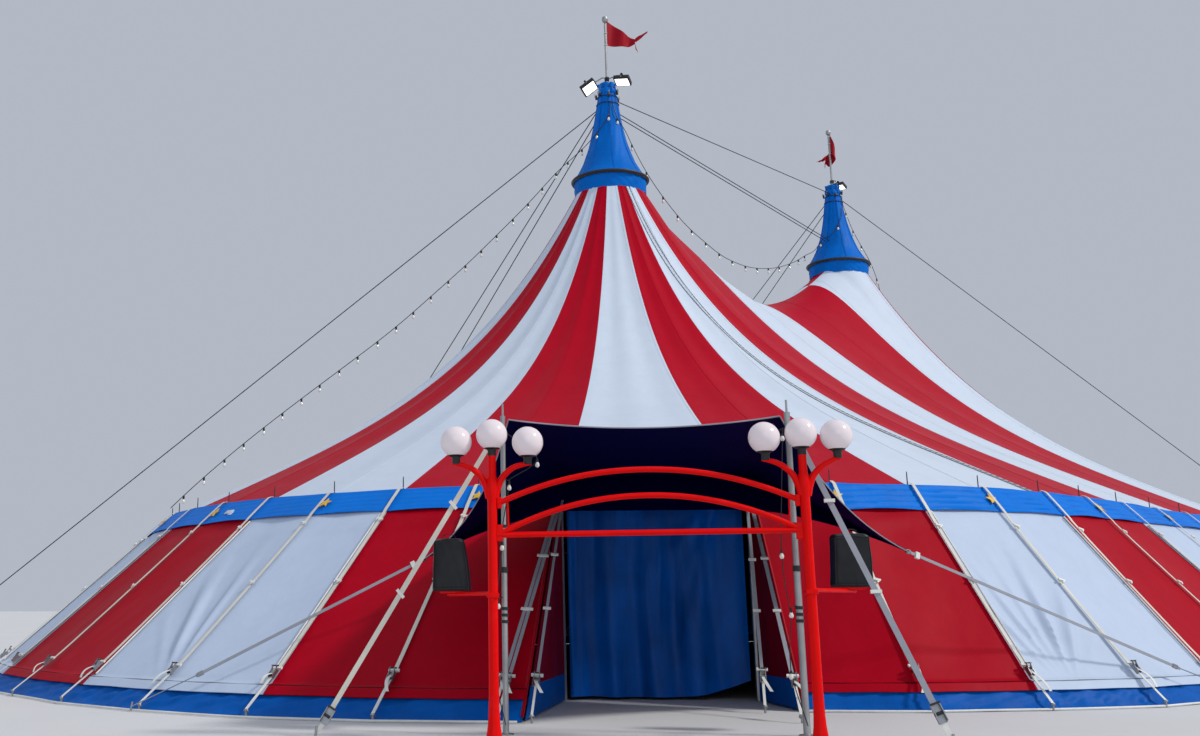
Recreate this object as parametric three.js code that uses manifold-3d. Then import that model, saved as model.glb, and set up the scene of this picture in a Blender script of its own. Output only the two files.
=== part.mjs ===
// Two-mast striped circus tent on round-ended plan, half-scale model.
// Every length below is the real one in metres; S turns it into millimetres
// of the 1:2 model. +Z is up, the floor is z = 0, the masts stand on the
// X axis and the origin is the middle of the tent.
import * as THREE from 'three';
import Module from 'manifold-3d';

const wasm = await Module();
wasm.setup();

// ---------------------------------------------------------------- constants
const S = 500;                    // mm of model per real metre (1:2)
const HALF = 6.35;                // mast distance from the middle
const R = 11.5;                   // eave radius
const RB = 15.3;                  // radius of the wall foot, away from the entrance
const Z_EAVE = 3.58;
const Z_COLLAR = 12.62;           // lower edge of the blue collar
const R_COLLAR = 0.93;            // canopy throat radius
const RIDGE_R = 2.15;             // equivalent throat radius at mid ridge
const STRIPES = 22;               // stripes in a full circle
const STEP = (2 * Math.PI) / STRIPES;
const T_CANOPY = 0.024;           // cloth is modelled thicker than real
const T_WALL = 0.020;
const GAP = 0.0008;               // clearance between neighbours

const group = new THREE.Group();
group.name = 'big_top';

// ---------------------------------------------------------------- materials
const paint = {
  red: [0xb3142b, 0.55, 0.0],
  white: [0xd7dee6, 0.55, 0.0],
  blue: [0x1566c0, 0.55, 0.0],
  navy: [0x0a0f2c, 0.6, 0.0],
  curtain: [0x0c2f6e, 0.85, 0.0],
  steel: [0x9a9da0, 0.4, 0.9],
  dark: [0x24262b, 0.6, 0.2],
  cable: [0x6d7278, 0.45, 0.8],
  signal: [0xc8161d, 0.35, 0.1],
  glass: [0xf3efe8, 0.25, 0.0],
  web: [0xe6e4dd, 0.8, 0.0],
};

function solidMesh(verts, tris) {
  return new wasm.Manifold(new wasm.Mesh({
    numProp: 3,
    vertProperties: new Float32Array(verts),
    triVerts: new Uint32Array(tris),
  }));
}

// three.js geometry -> closed solid (vertices welded)
function fromGeometry(geometry) {
  const pos = geometry.attributes.position;
  const index = geometry.index ? Array.from(geometry.index.array) : [...Array(pos.count).keys()];
  const map = new Map();
  const verts = [];
  const remap = [];
  for (let i = 0; i < pos.count; i += 1) {
    const x = pos.getX(i), y = pos.getY(i), z = pos.getZ(i);
    const key = `${Math.round(x * 1e4)},${Math.round(y * 1e4)},${Math.round(z * 1e4)}`;
    if (!map.has(key)) { map.set(key, verts.length / 3); verts.push(x, y, z); }
    remap.push(map.get(key));
  }
  const tris = [];
  for (let i = 0; i < index.length; i += 3) {
    const a = remap[index[i]], b = remap[index[i + 1]], c = remap[index[i + 2]];
    if (a !== b && b !== c && a !== c) tris.push(a, b, c);
  }
  return solidMesh(verts, tris);
}

function addNode(name, solid, colour) {
  const mesh = solid.getMesh();
  const src = mesh.vertProperties;
  const np = mesh.numProp;
  const position = new Float32Array((src.length / np) * 3);
  for (let i = 0; i < src.length / np; i += 1) {
    position[3 * i] = src[np * i];
    position[3 * i + 1] = src[np * i + 1];
    position[3 * i + 2] = src[np * i + 2];
  }
  const geometry = new THREE.BufferGeometry();
  geometry.setAttribute('position', new THREE.BufferAttribute(position, 3));
  geometry.setIndex(new THREE.BufferAttribute(new Uint32Array(mesh.triVerts), 1));
  geometry.computeVertexNormals();
  const [c, roughness, metalness] = paint[colour];
  const m = new THREE.Mesh(geometry, new THREE.MeshStandardMaterial({ color: c, roughness, metalness }));
  m.name = name;
  group.add(m);
}

// Closed shell between two grids of points (rows x cols, metres).
// outer and inner hold [row][col] = [x, y, z].
function shell(outer, inner) {
  const rows = outer.length, cols = outer[0].length;
  const verts = [];
  for (const g of [outer, inner]) for (const row of g) for (const p of row) verts.push(p[0] * S, p[1] * S, p[2] * S);
  const id = (g, r, c) => g * rows * cols + r * cols + c;
  const tris = [];
  const quad = (a, b, c, d) => tris.push(a, b, c, a, c, d);
  for (let r = 0; r < rows - 1; r += 1) for (let c = 0; c < cols - 1; c += 1) {
    quad(id(0, r, c), id(0, r, c + 1), id(0, r + 1, c + 1), id(0, r + 1, c));
    quad(id(1, r, c), id(1, r + 1, c), id(1, r + 1, c + 1), id(1, r, c + 1));
  }
  for (let c = 0; c < cols - 1; c += 1) {
    quad(id(0, 0, c + 1), id(0, 0, c), id(1, 0, c), id(1, 0, c + 1));
    quad(id(0, rows - 1, c), id(0, rows - 1, c + 1), id(1, rows - 1, c + 1), id(1, rows - 1, c));
  }
  for (let r = 0; r < rows - 1; r += 1) {
    quad(id(0, r, 0), id(0, r + 1, 0), id(1, r + 1, 0), id(1, r, 0));
    quad(id(0, r + 1, cols - 1), id(0, r, cols - 1), id(1, r, cols - 1), id(1, r + 1, cols - 1));
  }
  let solid = solidMesh(verts, tris);
  if (solid.volume() < 0) {
    for (let i = 0; i < tris.length; i += 3) { const t = tris[i + 1]; tris[i + 1] = tris[i + 2]; tris[i + 2] = t; }
    solid = solidMesh(verts, tris);
  }
  return solid;
}

// Round bar along a path (metres), constant radius, n sides.
function bar(points, radius, n = 6) {
  const path = points.map((p) => new THREE.Vector3(p[0], p[1], p[2]));
  const verts = [], tris = [];
  let up = new THREE.Vector3(0, 0, 1);
  const first = path[1].clone().sub(path[0]).normalize();
  if (Math.abs(first.dot(up)) > 0.95) up = new THREE.Vector3(1, 0, 0);
  for (let i = 0; i < path.length; i += 1) {
    const a = path[Math.max(i - 1, 0)], b = path[Math.min(i + 1, path.length - 1)];
    const t = b.clone().sub(a).normalize();
    const u = up.clone().sub(t.clone().multiplyScalar(up.dot(t))).normalize();
    const v = t.clone().cross(u);
    up = u;
    for (let k = 0; k < n; k += 1) {
      const w = (2 * Math.PI * k) / n;
      const p = path[i].clone().addScaledVector(u, radius * Math.cos(w)).addScaledVector(v, radius * Math.sin(w));
      verts.push(p.x * S, p.y * S, p.z * S);
    }
  }
  const last = path.length - 1;
  for (let i = 0; i < last; i += 1) for (let k = 0; k < n; k += 1) {
    const a = i * n + k, b = i * n + ((k + 1) % n), c = a + n, d = b + n;
    tris.push(a, b, d, a, d, c);
  }
  for (let k = 1; k < n - 1; k += 1) {
    tris.push(0, k + 1, k);
    tris.push(last * n, last * n + k, last * n + k + 1);
  }
  return solidMesh(verts, tris);
}

// Lathe around a vertical axis at (x, y); profile = [[r, z], ...] closed loop
// or a line that starts and ends on the axis.
function lathe(profile, x, y, n = 24) {
  const pts = profile.map((p) => new THREE.Vector2(p[0] * S, p[1] * S));
  const g = new THREE.LatheGeometry(pts, n);
  g.rotateX(Math.PI / 2);
  g.translate(x * S, y * S, 0);
  let solid = fromGeometry(g);
  if (solid.volume() < 0) {
    const idx = g.index.array;
    for (let i = 0; i < idx.length; i += 3) { const t = idx[i + 1]; idx[i + 1] = idx[i + 2]; idx[i + 2] = t; }
    solid = fromGeometry(g);
  }
  return solid;
}

function box(cx, cy, cz, sx, sy, sz, angle = 0) {
  const g = new THREE.BoxGeometry(sx * S, sy * S, sz * S);
  g.rotateZ(angle);
  g.translate(cx * S, cy * S, cz * S);
  return fromGeometry(g);
}

const union = (list) => list.reduce((a, b) => a.add(b));

// ------------------------------------------------------------ canopy surface
function fall(r) {                 // 1 at the throat, 0 at the eave
  const s = Math.min(Math.max((r - R_COLLAR) / (R - R_COLLAR), 0), 1);
  return 0.445 * (1 - s) ** 3.6 + 0.555 * (1 - s);
}
function canopyZ(x, y) {
  const d = HALF - Math.abs(x);
  let r;
  if (d <= 0) r = Math.hypot(d, y);
  else {
    const rho = d < R_COLLAR ? d
      : R_COLLAR + (RIDGE_R - R_COLLAR) * Math.sin((Math.PI / 2) * ((d - R_COLLAR) / (HALF - R_COLLAR)));
    r = Math.sqrt(y * y + rho * rho * (1 - Math.min(1, (y / R) ** 2)));
  }
  return Z_EAVE + (Z_COLLAR + 0.06 - Z_EAVE) * fall(r);
}
function canopyNormal(x, y) {
  const h = 0.01;
  const gx = (canopyZ(x + h, y) - canopyZ(x - h, y)) / (2 * h);
  const gy = (canopyZ(x, y + h) - canopyZ(x, y - h)) / (2 * h);
  const l = Math.hypot(gx, gy, 1);
  return [-gx / l, -gy / l, 1 / l];
}
const RINGS = [0, 0.045, 0.12, 0.23, 0.4, 0.66, 0.994];

// pole positions: angle around a mast, or x along the straight side
const W = -HALF, E = HALF;
// radius of the wall foot by stripe number: the walls are pitched further out
// to the left of the entrance and steeper to the right of it
const FOOT = [[-8, RB], [-5, RB], [-4, 15.45], [-3, 15.5], [-2.5, 15.65], [-2, 15.8], [-1.5, 15.85], [-1, 15.9], [-0.5, 15.6],
  [0.5, 13.6], [1, 14.0], [1.5, 14.2], [2, 14.45], [2.5, 14.4], [3, 14.65], [3.5, 14.85], [4, 15.05], [4.5, 15.2], [5, RB], [99, RB]];
const footR = (k) => {
  for (let i = 1; i < FOOT.length; i += 1) if (k <= FOOT[i][0]) {
    const [a, u] = FOOT[i - 1], [b, v] = FOOT[i];
    return u + ((v - u) * (k - a)) / (b - a);
  }
  return RB;
};
// slope of the wall at a station: length, outward and down along it, outward normal
const slope = (st) => {
  const l = Math.hypot(st.rb - R, Z_EAVE);
  return { l, d: [(st.rb - R) / l, -Z_EAVE / l], n: [Z_EAVE / l, (st.rb - R) / l] };
};

// A station is a place on the eave: centre x, direction angle, and how far
// along it lies; out(st, r) gives the plan point at radius r.
const station = (cx, angle, m = 1, rb = RB) => ({ cx, c: Math.cos(angle) * m, s: Math.sin(angle) * m, rb });
const straight = (x, side) => ({ cx: x, c: 0, s: side, rb: side < 0 ? footR(3 + (1.5 * (x + HALF)) / HALF) : RB });
const out = (st, r) => [st.cx + r * st.c, r * st.s];
const wallPoint = (st, along, off) => {
  const { d, n } = slope(st);
  const r = R + d[0] * along + n[0] * off, z = Z_EAVE + d[1] * along + n[1] * off;
  const p = out(st, r);
  return [p[0], p[1], z];
};
// the same, moved sideways along the eave by t
const wallPointT = (st, along, off, t) => {
  const p = wallPoint(st, along, off);
  return [p[0] - st.s * t, p[1] + st.c * t, p[2]];
};

// Stripe numbers run anticlockwise seen from above. k is a stripe's centre
// and k +- 0.5 its edges; a side pole stands at every half number. k = 0 is
// the stripe over the doorway and k = 3 the one on the south side of the
// west mast (direction -90 degrees). SET is how far, in degrees, each side
// pole by the entrance stands off the even spacing.
const SET = [[-8, 0], [-6, 0.8], [-4.5, 1.6], [-3, 1.5], [-2, 1.7], [-1.5, 1.35], [-1, 0.65], [-0.5, -0.2], [0.5, -0.2], [1, -1.0], [1.5, -1.4], [2, -1.3], [2.5, -0.5], [3, 0]];
const setOff = (k) => {
  for (let i = 1; i < SET.length; i += 1) if (k <= SET[i][0]) {
    const [a, u] = SET[i - 1], [b, v] = SET[i];
    return u + ((v - u) * (k - a)) / (b - a);
  }
  return 0;
};
const angW = (k) => -Math.PI / 2 - (3 - k) * STEP + (setOff(k) * Math.PI) / 180;   // west mast
const angE = (k) => -Math.PI / 2 + k * STEP;                    // east mast, k from 0 to 11
const rangeStations = (f, a, b, n) => [...Array(n + 1).keys()].map((i) => f(a + ((b - a) * i) / n));


// The doorway is the stripe k = 0: its edge is the straight line between the
// poles at k = -0.5 and k = 0.5.
const ANG_DOOR = (angW(-0.5) + angW(0.5)) / 2;
const HALF_DOOR = (angW(0.5) - angW(-0.5)) / 2;
const west = (k) => station(W, angW(k), 1, footR(k));
const doorStation = { ...station(W, ANG_DOOR, Math.cos(HALF_DOOR), footR(0)), doorway: true };
const SEGMENTS = [
  // name, stations from one end to the other (half-stripe steps)
  ['entrance', rangeStations((k) => (k === 0 ? doorStation : west(k)), -0.5, 3, 7)],
  ['west_front', rangeStations(west, -4.5, -0.5, 8)],
  ['west_back', rangeStations(west, -8, -4.5, 7)],
  ['front', rangeStations((x) => straight(x, -1), W, E, 6)],
  ['east_front', rangeStations((k) => station(E, angE(k)), 0, 3.5, 7)],
  ['east_end', rangeStations((k) => station(E, angE(k)), 3.5, 7.5, 8)],
  ['east_back', rangeStations((k) => station(E, angE(k)), 7.5, 11, 7)],
  ['back', rangeStations((x) => straight(-x, 1), W, E, 6)],
];
// the canopy over the straight sides curves more closely than the poles stand
const finer = (name, st) => (name === 'front' || name === 'back' ? rangeStations((x) => straight(name === 'front' ? x : -x, name === 'front' ? -1 : 1), W, E, 12) : st);

// clip the ends of a segment sideways so that neighbours keep a gap
function sideways(st, i, n) {
  if (i === 0) return GAP;
  if (i === n) return -GAP;
  return 0;
}

const VAL_LONG = 0.66;   // blue valance below the eave
const POLE_R = R - 0.13;                 // side poles stand inside the wall

function canopySegment(name, stations) {
  const n = stations.length - 1;
  const outer = [], inner = [];
  const isStraight = stations[0].c === 0 && stations[n].c === 0 && stations[0].cx !== stations[n].cx;
  // rows run from the throat (or the ridge) down to the eave, then the valance
  const rows = isStraight ? [0, 0.06, 0.13, 0.23, 0.4, 0.66, 0.994] : RINGS;
  for (const f of rows) {
    const o = [], q = [];
    stations.forEach((st, i) => {
      const r0 = isStraight ? (Math.abs(Math.abs(st.cx) - HALF) < 1e-6 ? R_COLLAR : 0.0) : R_COLLAR;
      const r = r0 + (R - r0) * f + (isStraight && r0 === 0 && f === 0 ? GAP : 0);
      let [x, y] = out(st, r);
      const t = sideways(st, i, n);
      x += -st.s * t; y += st.c * t;
      const z = canopyZ(x, y);
      const nn = canopyNormal(x, y);
      o.push([x, y, z + 0.0]);
      q.push([x - nn[0] * T_CANOPY, y - nn[1] * T_CANOPY, z - nn[2] * T_CANOPY]);
      if (isStraight && r0 === 0 && f === 0) { o[i] = [x, y, z]; q[i] = [x, y, z - T_CANOPY]; }
    });
    outer.push(o); inner.push(q);
  }
  // the hem folds down into the valance, which lies just off the wall
  for (const [a1, o1, a2, o2] of [[0.03, 0.062, 0.055, 0.040], [VAL_LONG, 0.062, VAL_LONG, 0.040]]) {
    outer.push(stations.map((st, i) => wallPointT(st, a1, o1, sideways(st, i, n))));
    inner.push(stations.map((st, i) => wallPointT(st, a2, o2, sideways(st, i, n))));
  }
  return shell(outer, inner);
}

// ------------------------------------------------------------------- walls
const SKIRT = 0.927;                       // where the blue skirt starts, as a part of the wall's length
const RISE = [0.14, VAL_LONG, 1.4, 2.3];
function wallSegment(stations, skipFrom = null) {
  const n = stations.length - 1;
  const foot = (st, off) => { const q = slope(st); return (Z_EAVE + q.n[1] * off) / -q.d[1]; };    // where z = 0
  // sheet with the blue skirt standing proud along its foot
  const row = (al, off) => stations.map((st, i) => wallPointT(st, typeof al === 'number' ? al : al(st), off, sideways(st, i, n)));
  const skirt = (more) => (st) => SKIRT * slope(st).l + more;
  const proud = T_WALL + 0.02;
  const body = [shell(
    [...RISE.map((a) => row(a, T_WALL)), row(skirt(0), T_WALL), row(skirt(0.01), proud), row((st) => foot(st, proud) - 0.006, proud)],
    [...RISE.map((a) => row(a, 0)), row(skirt(0), 0), row(skirt(0.01), 0), row((st) => foot(st, 0), 0)])];
  // webbing straps on the wall, over the poles, down to a stake each
  stations.forEach((st, i) => {
    if (i === 0 && skipFrom !== 'first') return;           // the neighbour has it
    const w = 0.028;
    const t0 = i === n ? -GAP - w : (i === 0 ? GAP + w : 0);
    const line = (al, off) => [-w, w].map((t) => wallPointT(st, al, off, t0 + t));
    const lo = foot(st, T_WALL * 0.4) - 0.004;
    body.push(shell([line(VAL_LONG + 0.06, T_WALL + 0.035), line(lo, T_WALL + 0.035)],
      [line(VAL_LONG + 0.06, T_WALL * 0.4), line(lo, T_WALL * 0.4)]));
    // stake head that the strap is hooked on, just off the wall's foot
    const ax = [st.c, st.s], tx = [-st.s, st.c];
    const at = (r, z) => [st.cx + ax[0] * r * 1 + tx[0] * t0, ax[1] * r + tx[1] * t0, z];
    const l = Math.hypot(st.c, st.s);
    body.push(bar([at((st.rb - 0.03) / l, 0.034), at((st.rb + 0.15) / l, 0.034)], 0.034, 6));
  });
  return union(body);
}

// -------------------------------------------------------------- side poles
function poleGroup(stations) {
  const n = stations.length - 1;
  const body = [];
  stations.forEach((st, i) => {
    if (i === 0) return;
    const p = out(st, POLE_R);
    const z = Z_EAVE - 0.09;
    if (st.doorway) return;
    body.push(bar([[p[0], p[1], 0], [p[0], p[1], z]], 0.042, 6));
  });
  const rail = (r, z) => stations.slice(1).map((st) => { const p = out(st, r); return [p[0], p[1], z]; });
  const zr = Z_EAVE - 0.16;
  body.push(shell([rail(POLE_R + 0.02, zr + 0.02), rail(POLE_R + 0.02, zr - 0.02)], [rail(POLE_R - 0.02, zr + 0.02), rail(POLE_R - 0.02, zr - 0.02)]));
  return union(body);
}

for (const [name, st] of SEGMENTS) {
  addNode(`canopy_${name}`, canopySegment(name, finer(name, st)), name === 'west_front' || name === 'east_front' || name === 'east_back' || name === 'west_back' ? 'white' : 'red');
}
for (const [name, st] of SEGMENTS) {
  const list = name === 'entrance' ? st.slice(2) : st;
  addNode(`wall_${name}`, wallSegment(list, name === 'entrance' ? 'first' : null), name.startsWith('west') || name.startsWith('east') ? 'red' : 'white');
}
addNode('side_poles_west', poleGroup(SEGMENTS[2][1].concat(SEGMENTS[1][1].slice(1))), 'steel');
addNode('side_poles_entrance', poleGroup(SEGMENTS[0][1]), 'steel');
addNode('side_poles_front', poleGroup(SEGMENTS[3][1]), 'steel');
addNode('side_poles_east', poleGroup(SEGMENTS[4][1].concat(SEGMENTS[5][1].slice(1)).concat(SEGMENTS[6][1].slice(1))), 'steel');
addNode('side_poles_back', poleGroup(SEGMENTS[7][1]), 'steel');

// -------------------------------------------------------------- mast cables
// Steel cables, taut from the mast heads to the ground anchors, and one
// between the heads. Each ends 1 mm off the mast, in its own gap in the cap.
const Y_BACK = 15.4;                       // stakes of the back stays, at the wall's foot
const CABLES = [
  // name, mast x, height, foot or far end, sideways start
  ['end_stay_west', W, 15.4, [-18.93, 14.5, 0.02]],
  ['end_stay_east', E, 15.66, [22.752, -12.89, 0.02]],
  ['back_stay_west_a', W, 15.62, [-6.57, Y_BACK, 0.02]],
  ['back_stay_west_b', W, 15.4, [-5.49, Y_BACK, 0.02]],
  ['back_stay_east_a', E, 15.62, [4.73, Y_BACK, 0.02]],
  ['back_stay_east_b', E, 15.4, [7.06, Y_BACK, 0.02]],
  ['ridge_cable', W, 15.55, [E, 0, 15.62]],
  ['ridge_cable_low_a', W, 15.2, [E, 0, 13.75], 0.07],
  ['ridge_cable_low_b', W, 15.2, [E, 0, 13.75], -0.07],
];
const CABLE_R = 0.014;
const cableLine = ([, x, z, end, side = 0]) => {
  const d = Math.hypot(end[0] - x, end[1]);
  const u = [(end[0] - x) / d, end[1] / d];
  const k = 0.17;
  const stop = end[2] > 1 ? (d - k) / d : 1;
  const z0 = z + ((end[2] - z) * k) / d;
  return [[x + u[0] * k, u[1] * k + side, z0], [x + u[0] * d * stop, u[1] * d * stop + side, end[2]]];
};
const bores = CABLES.map((c) => {
  const [a, b] = cableLine(c);
  return bar([[a[0] - (b[0] - a[0]) * 0.01, a[1] - (b[1] - a[1]) * 0.01, a[2] - (b[2] - a[2]) * 0.01],
    [b[0] + (b[0] - a[0]) * 0.02, b[1] + (b[1] - a[1]) * 0.02, b[2] + (b[2] - a[2]) * 0.02]], CABLE_R + 0.012, 6);
});
CABLES.forEach((c) => addNode(c[0], bar(cableLine(c), CABLE_R, 6), 'cable'));

// ------------------------------------------------------------ masts and caps
const Z_RIM = 13.0, R_RIM = 1.03, Z_CAP = 15.82;
for (const [tag, x] of [['west', W], ['east', E]]) {
  addNode(`mast_${tag}`, lathe([
    [0, 0], [0.45, 0], [0.45, 0.04], [0.15, 0.04], [0.15, 15.9], [0.035, 15.98],
    [0.035, 17.8], [0.02, 17.83], [0.075, 17.88], [0.09, 17.95], [0.075, 18.02], [0, 18.05]], x, 0, 16), 'steel');
  // cap: flared cone with a throat around the flag pole
  const prof = [[0.2, Z_CAP], [0.33, 14.98], [0.5, 14.2], [0.72, 13.52], [0.985, Z_RIM + 0.07]];
  const th = 0.02;
  let cap = lathe([...prof, [0.985 - th, Z_RIM + 0.07], ...prof.slice(0, -1).reverse().map(([r, z]) => [r - th, z - th]), prof[0]], x, 0, 20);
  bores.forEach((b) => { cap = cap.subtract(b); });
  addNode(`cap_${tag}`, cap, 'blue');
  // bail ring the canopy hangs on: ring, four spokes and a sleeve on the mast
  const ring = new THREE.TorusGeometry(R_RIM * S, 0.045 * S, 5, 22);
  ring.translate(x * S, 0, Z_RIM * S);
  const parts = [fromGeometry(ring), lathe([[0.153, Z_RIM - 0.12], [0.2, Z_RIM - 0.12], [0.2, Z_RIM + 0.12], [0.153, Z_RIM + 0.12], [0.153, Z_RIM - 0.12]], x, 0, 16)];
  for (let k = 0; k < 4; k += 1) {
    const a = Math.PI / 4 + (k * Math.PI) / 2;
    parts.push(bar([[x + 0.18 * Math.cos(a), 0.18 * Math.sin(a), Z_RIM], [x + R_RIM * Math.cos(a), R_RIM * Math.sin(a), Z_RIM]], 0.03, 6));
  }
  addNode(`bail_ring_${tag}`, union(parts), 'dark');
  // collar band below the ring, around the top of the canopy
  addNode(`collar_${tag}`, lathe([[0.985, Z_RIM - 0.06], [0.985, Z_COLLAR], [1.005, Z_COLLAR], [1.005, Z_RIM - 0.06], [0.985, Z_RIM - 0.06]], x, 0, 24), 'blue');
}

// ------------------------------------------------------------------ pennants
function pennant(x, y, z, angle, length, height) {
  const shape = new THREE.Shape();
  shape.moveTo(0.045 * S, (height / 2) * S);
  shape.lineTo(length * S, (height * 0.32) * S);
  shape.lineTo(length * 0.8 * S, 0);
  shape.lineTo(length * S, -(height * 0.32) * S);
  shape.lineTo(0.045 * S, -(height / 2) * S);
  const g = new THREE.ExtrudeGeometry(shape, { depth: 0.012 * S, bevelEnabled: false });
  g.translate(0, 0, -0.006 * S);
  g.rotateX(Math.PI / 2);
  g.rotateZ(angle);
  g.translate(x * S, y * S, z * S);
  return fromGeometry(g);
}
addNode('pennant_west', pennant(W, 0, 17.42, -0.9, 1.1, 0.76), 'red');
addNode('pennant_east', pennant(E, 0, 17.42, 2.6, 0.7, 0.76), 'red');

// ---------------------------------------------------------------- floodlights
// a flat lamp head on a bent arm from the flag pole, tilted down and out
function floodlight(name, x, az, reach, z, tilt) {
  const c = Math.cos(az), n = Math.sin(az);
  const g = new THREE.BoxGeometry(0.5 * S, 0.42 * S, 0.09 * S);
  g.rotateY(tilt);
  g.rotateZ(az);
  g.translate((x + c * reach) * S, n * reach * S, z * S);
  const p = (r, h) => [x + c * r, n * r, h];
  addNode(name, fromGeometry(g).add(bar([p(0.042, 16.12), p(reach * 0.6, 16.14), p(reach, z + 0.02)], 0.025, 6)), 'dark');
}
floodlight('floodlight_west_left', W, 2.23, 0.48, 15.98, 0.5);
floodlight('floodlight_west_right', W, -0.91, 0.44, 16.12, 0.12);
floodlight('floodlight_east', E, -0.98, 0.36, 16.12, 0.45);

// ----------------------------------------------------------- entrance awning
const e = [Math.cos(ANG_DOOR), Math.sin(ANG_DOOR)];    // out of the doorway
const t = [-e[1], e[0]];                               // along the eave, west to east seen from outside
const at = (o, side, z) => [W + e[0] * o + t[0] * side, e[1] * o + t[1] * side, z];
const RUN = R * Math.cos(HALF_DOOR);                   // doorway line, out from the mast
const FRONT = 17.0;                                    // awning poles
const Z_AWN = 3.98;
const POLES = { left: -2.38, right: 1.3 };             // the awning stands a little askew
const TIPS = { left: [13.6, -3.82, 2.24], right: [13.6, 3.66, 2.32] };
const GUY = { left: [17.6, -4.68], right: [18.3, 2.7] };
const tieFoot = (k) => { const p = out(west(k), footR(k) + 0.3); return [p[0], p[1], 0.03]; };
{
  // one cloth: roof from the front edge to the eave, a flap down over the
  // doorway's head, and on each side a wing that runs down and out to a tied
  // corner with hollow free edges
  const cols = 6, wing = 5;
  const FLAP = [[RUN + 0.58, 3.12], [RUN + 0.26, Z_EAVE + 0.14]];
  const roof = (f, h) => {
    const g = h * 2 - 1;
    const back = g * 1.62;
    const front = POLES.left + 0.07 + (POLES.right - POLES.left - 0.14) * h;
    const run = RUN + 0.28 + (FRONT - RUN - 0.28) * f;
    const z = Z_EAVE + 0.16 + (Z_AWN - Z_EAVE - 0.2) * f - 0.12 * (1 - g * g) * f - 0.1 * Math.sin(Math.PI * f);
    return at(run, back + (front - back) * f, z);
  };
  const centre = (i, h) => (i < 2 ? at(FLAP[i][0], (h * 2 - 1) * 1.62, FLAP[i][1]) : roof((i - 2) / 5, h));
  const side = (i, tag, f) => {            // f from the roof's edge (0) to the tied corner (1)
    const h = tag === 'left' ? 0 : 1, w = 1 - i / 7, bow = 4 * f * (1 - f);
    const q = centre(i, h), c = at(...TIPS[tag]), a0 = centre(7, h), b0 = centre(0, h);
    return q.map((v, d) => v + (c[d] - v) * f + bow * ((1 - w) * 0.16 * (b0[d] - a0[d]) + w * 0.07 * (a0[d] - b0[d])));
  };
  // the strap from each tied corner to the ground
  const strap = (i, tag, q) => {
    const a0 = side(7, tag, 0.965), b0 = side(0, tag, 0.965);
    const l = Math.hypot(a0[0] - b0[0], a0[1] - b0[1], a0[2] - b0[2]);
    return q.map((v, d) => v + ((a0[d] - b0[d]) / l) * 0.04 * (i / 7 - 0.5));
  };
  const foot = { left: tieFoot(-2), right: tieFoot(2.5) };
  const outer = [], inner = [];
  const depth = [[-0.016, -0.012], [-0.018, -0.010], [0, -0.02]];
  for (let i = 0; i <= 7; i += 1) {
    const row = [strap(i, 'left', foot.left), strap(i, 'left', at(...TIPS.left))];
    for (let j = wing; j >= 1; j -= 1) row.push(side(i, 'left', (j / wing) * 0.965));
    for (let j = 0; j <= cols; j += 1) row.push(centre(i, j / cols));
    for (let j = 1; j <= wing; j += 1) row.push(side(i, 'right', (j / wing) * 0.965));
    row.push(strap(i, 'right', at(...TIPS.right)), strap(i, 'right', foot.right));
    const [du, dz] = depth[Math.min(i, 2)];
    outer.push(row);
    inner.push(row.map((p) => [p[0] + e[0] * du, p[1] + e[1] * du, p[2] + dz]));
  }
  addNode('awning', shell(outer, inner), 'navy');
}
const SPEAKER = { left: [16.72, -3.08, 2.07], right: [16.72, 2.05, 2.1] };
for (const tag of ['left', 'right']) {
  const sgn = tag === 'left' ? -1 : 1;
  const p = at(FRONT + 0.1, POLES[tag], 0);
  const [so, ss, sz] = SPEAKER[tag];
  const c = at(so, ss, sz);
  // bracket arm under the loudspeaker
  const arm = bar([at(FRONT + 0.1, POLES[tag], sz - 0.362), at(so, ss, sz - 0.362)], 0.03, 6);
  addNode(`awning_pole_${tag}`, lathe([[0, 0], [0.1, 0], [0.1, 0.02], [0.045, 0.02], [0.045, Z_AWN], [0.015, Z_AWN], [0.015, Z_AWN + 0.16], [0, Z_AWN + 0.16]], p[0], p[1], 10).add(arm), 'steel');
  addNode(`loudspeaker_${tag}`, box(c[0], c[1], c[2], 0.38, 0.5, 0.66, ANG_DOOR), 'dark');
  // guy strap from the pole head to the ground
  const to = at(GUY[tag][0], GUY[tag][1], 0.02), from = [p[0], p[1], Z_AWN - 0.08];
  const d = Math.hypot(to[0] - from[0], to[1] - from[1]);
  const start = from.map((v, i) => (i < 2 ? v + ((to[i] - v) * 0.075) / d : v));
  addNode(`awning_guy_${tag}`, bar([start, to], 0.022, 6), 'web');
}

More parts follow.
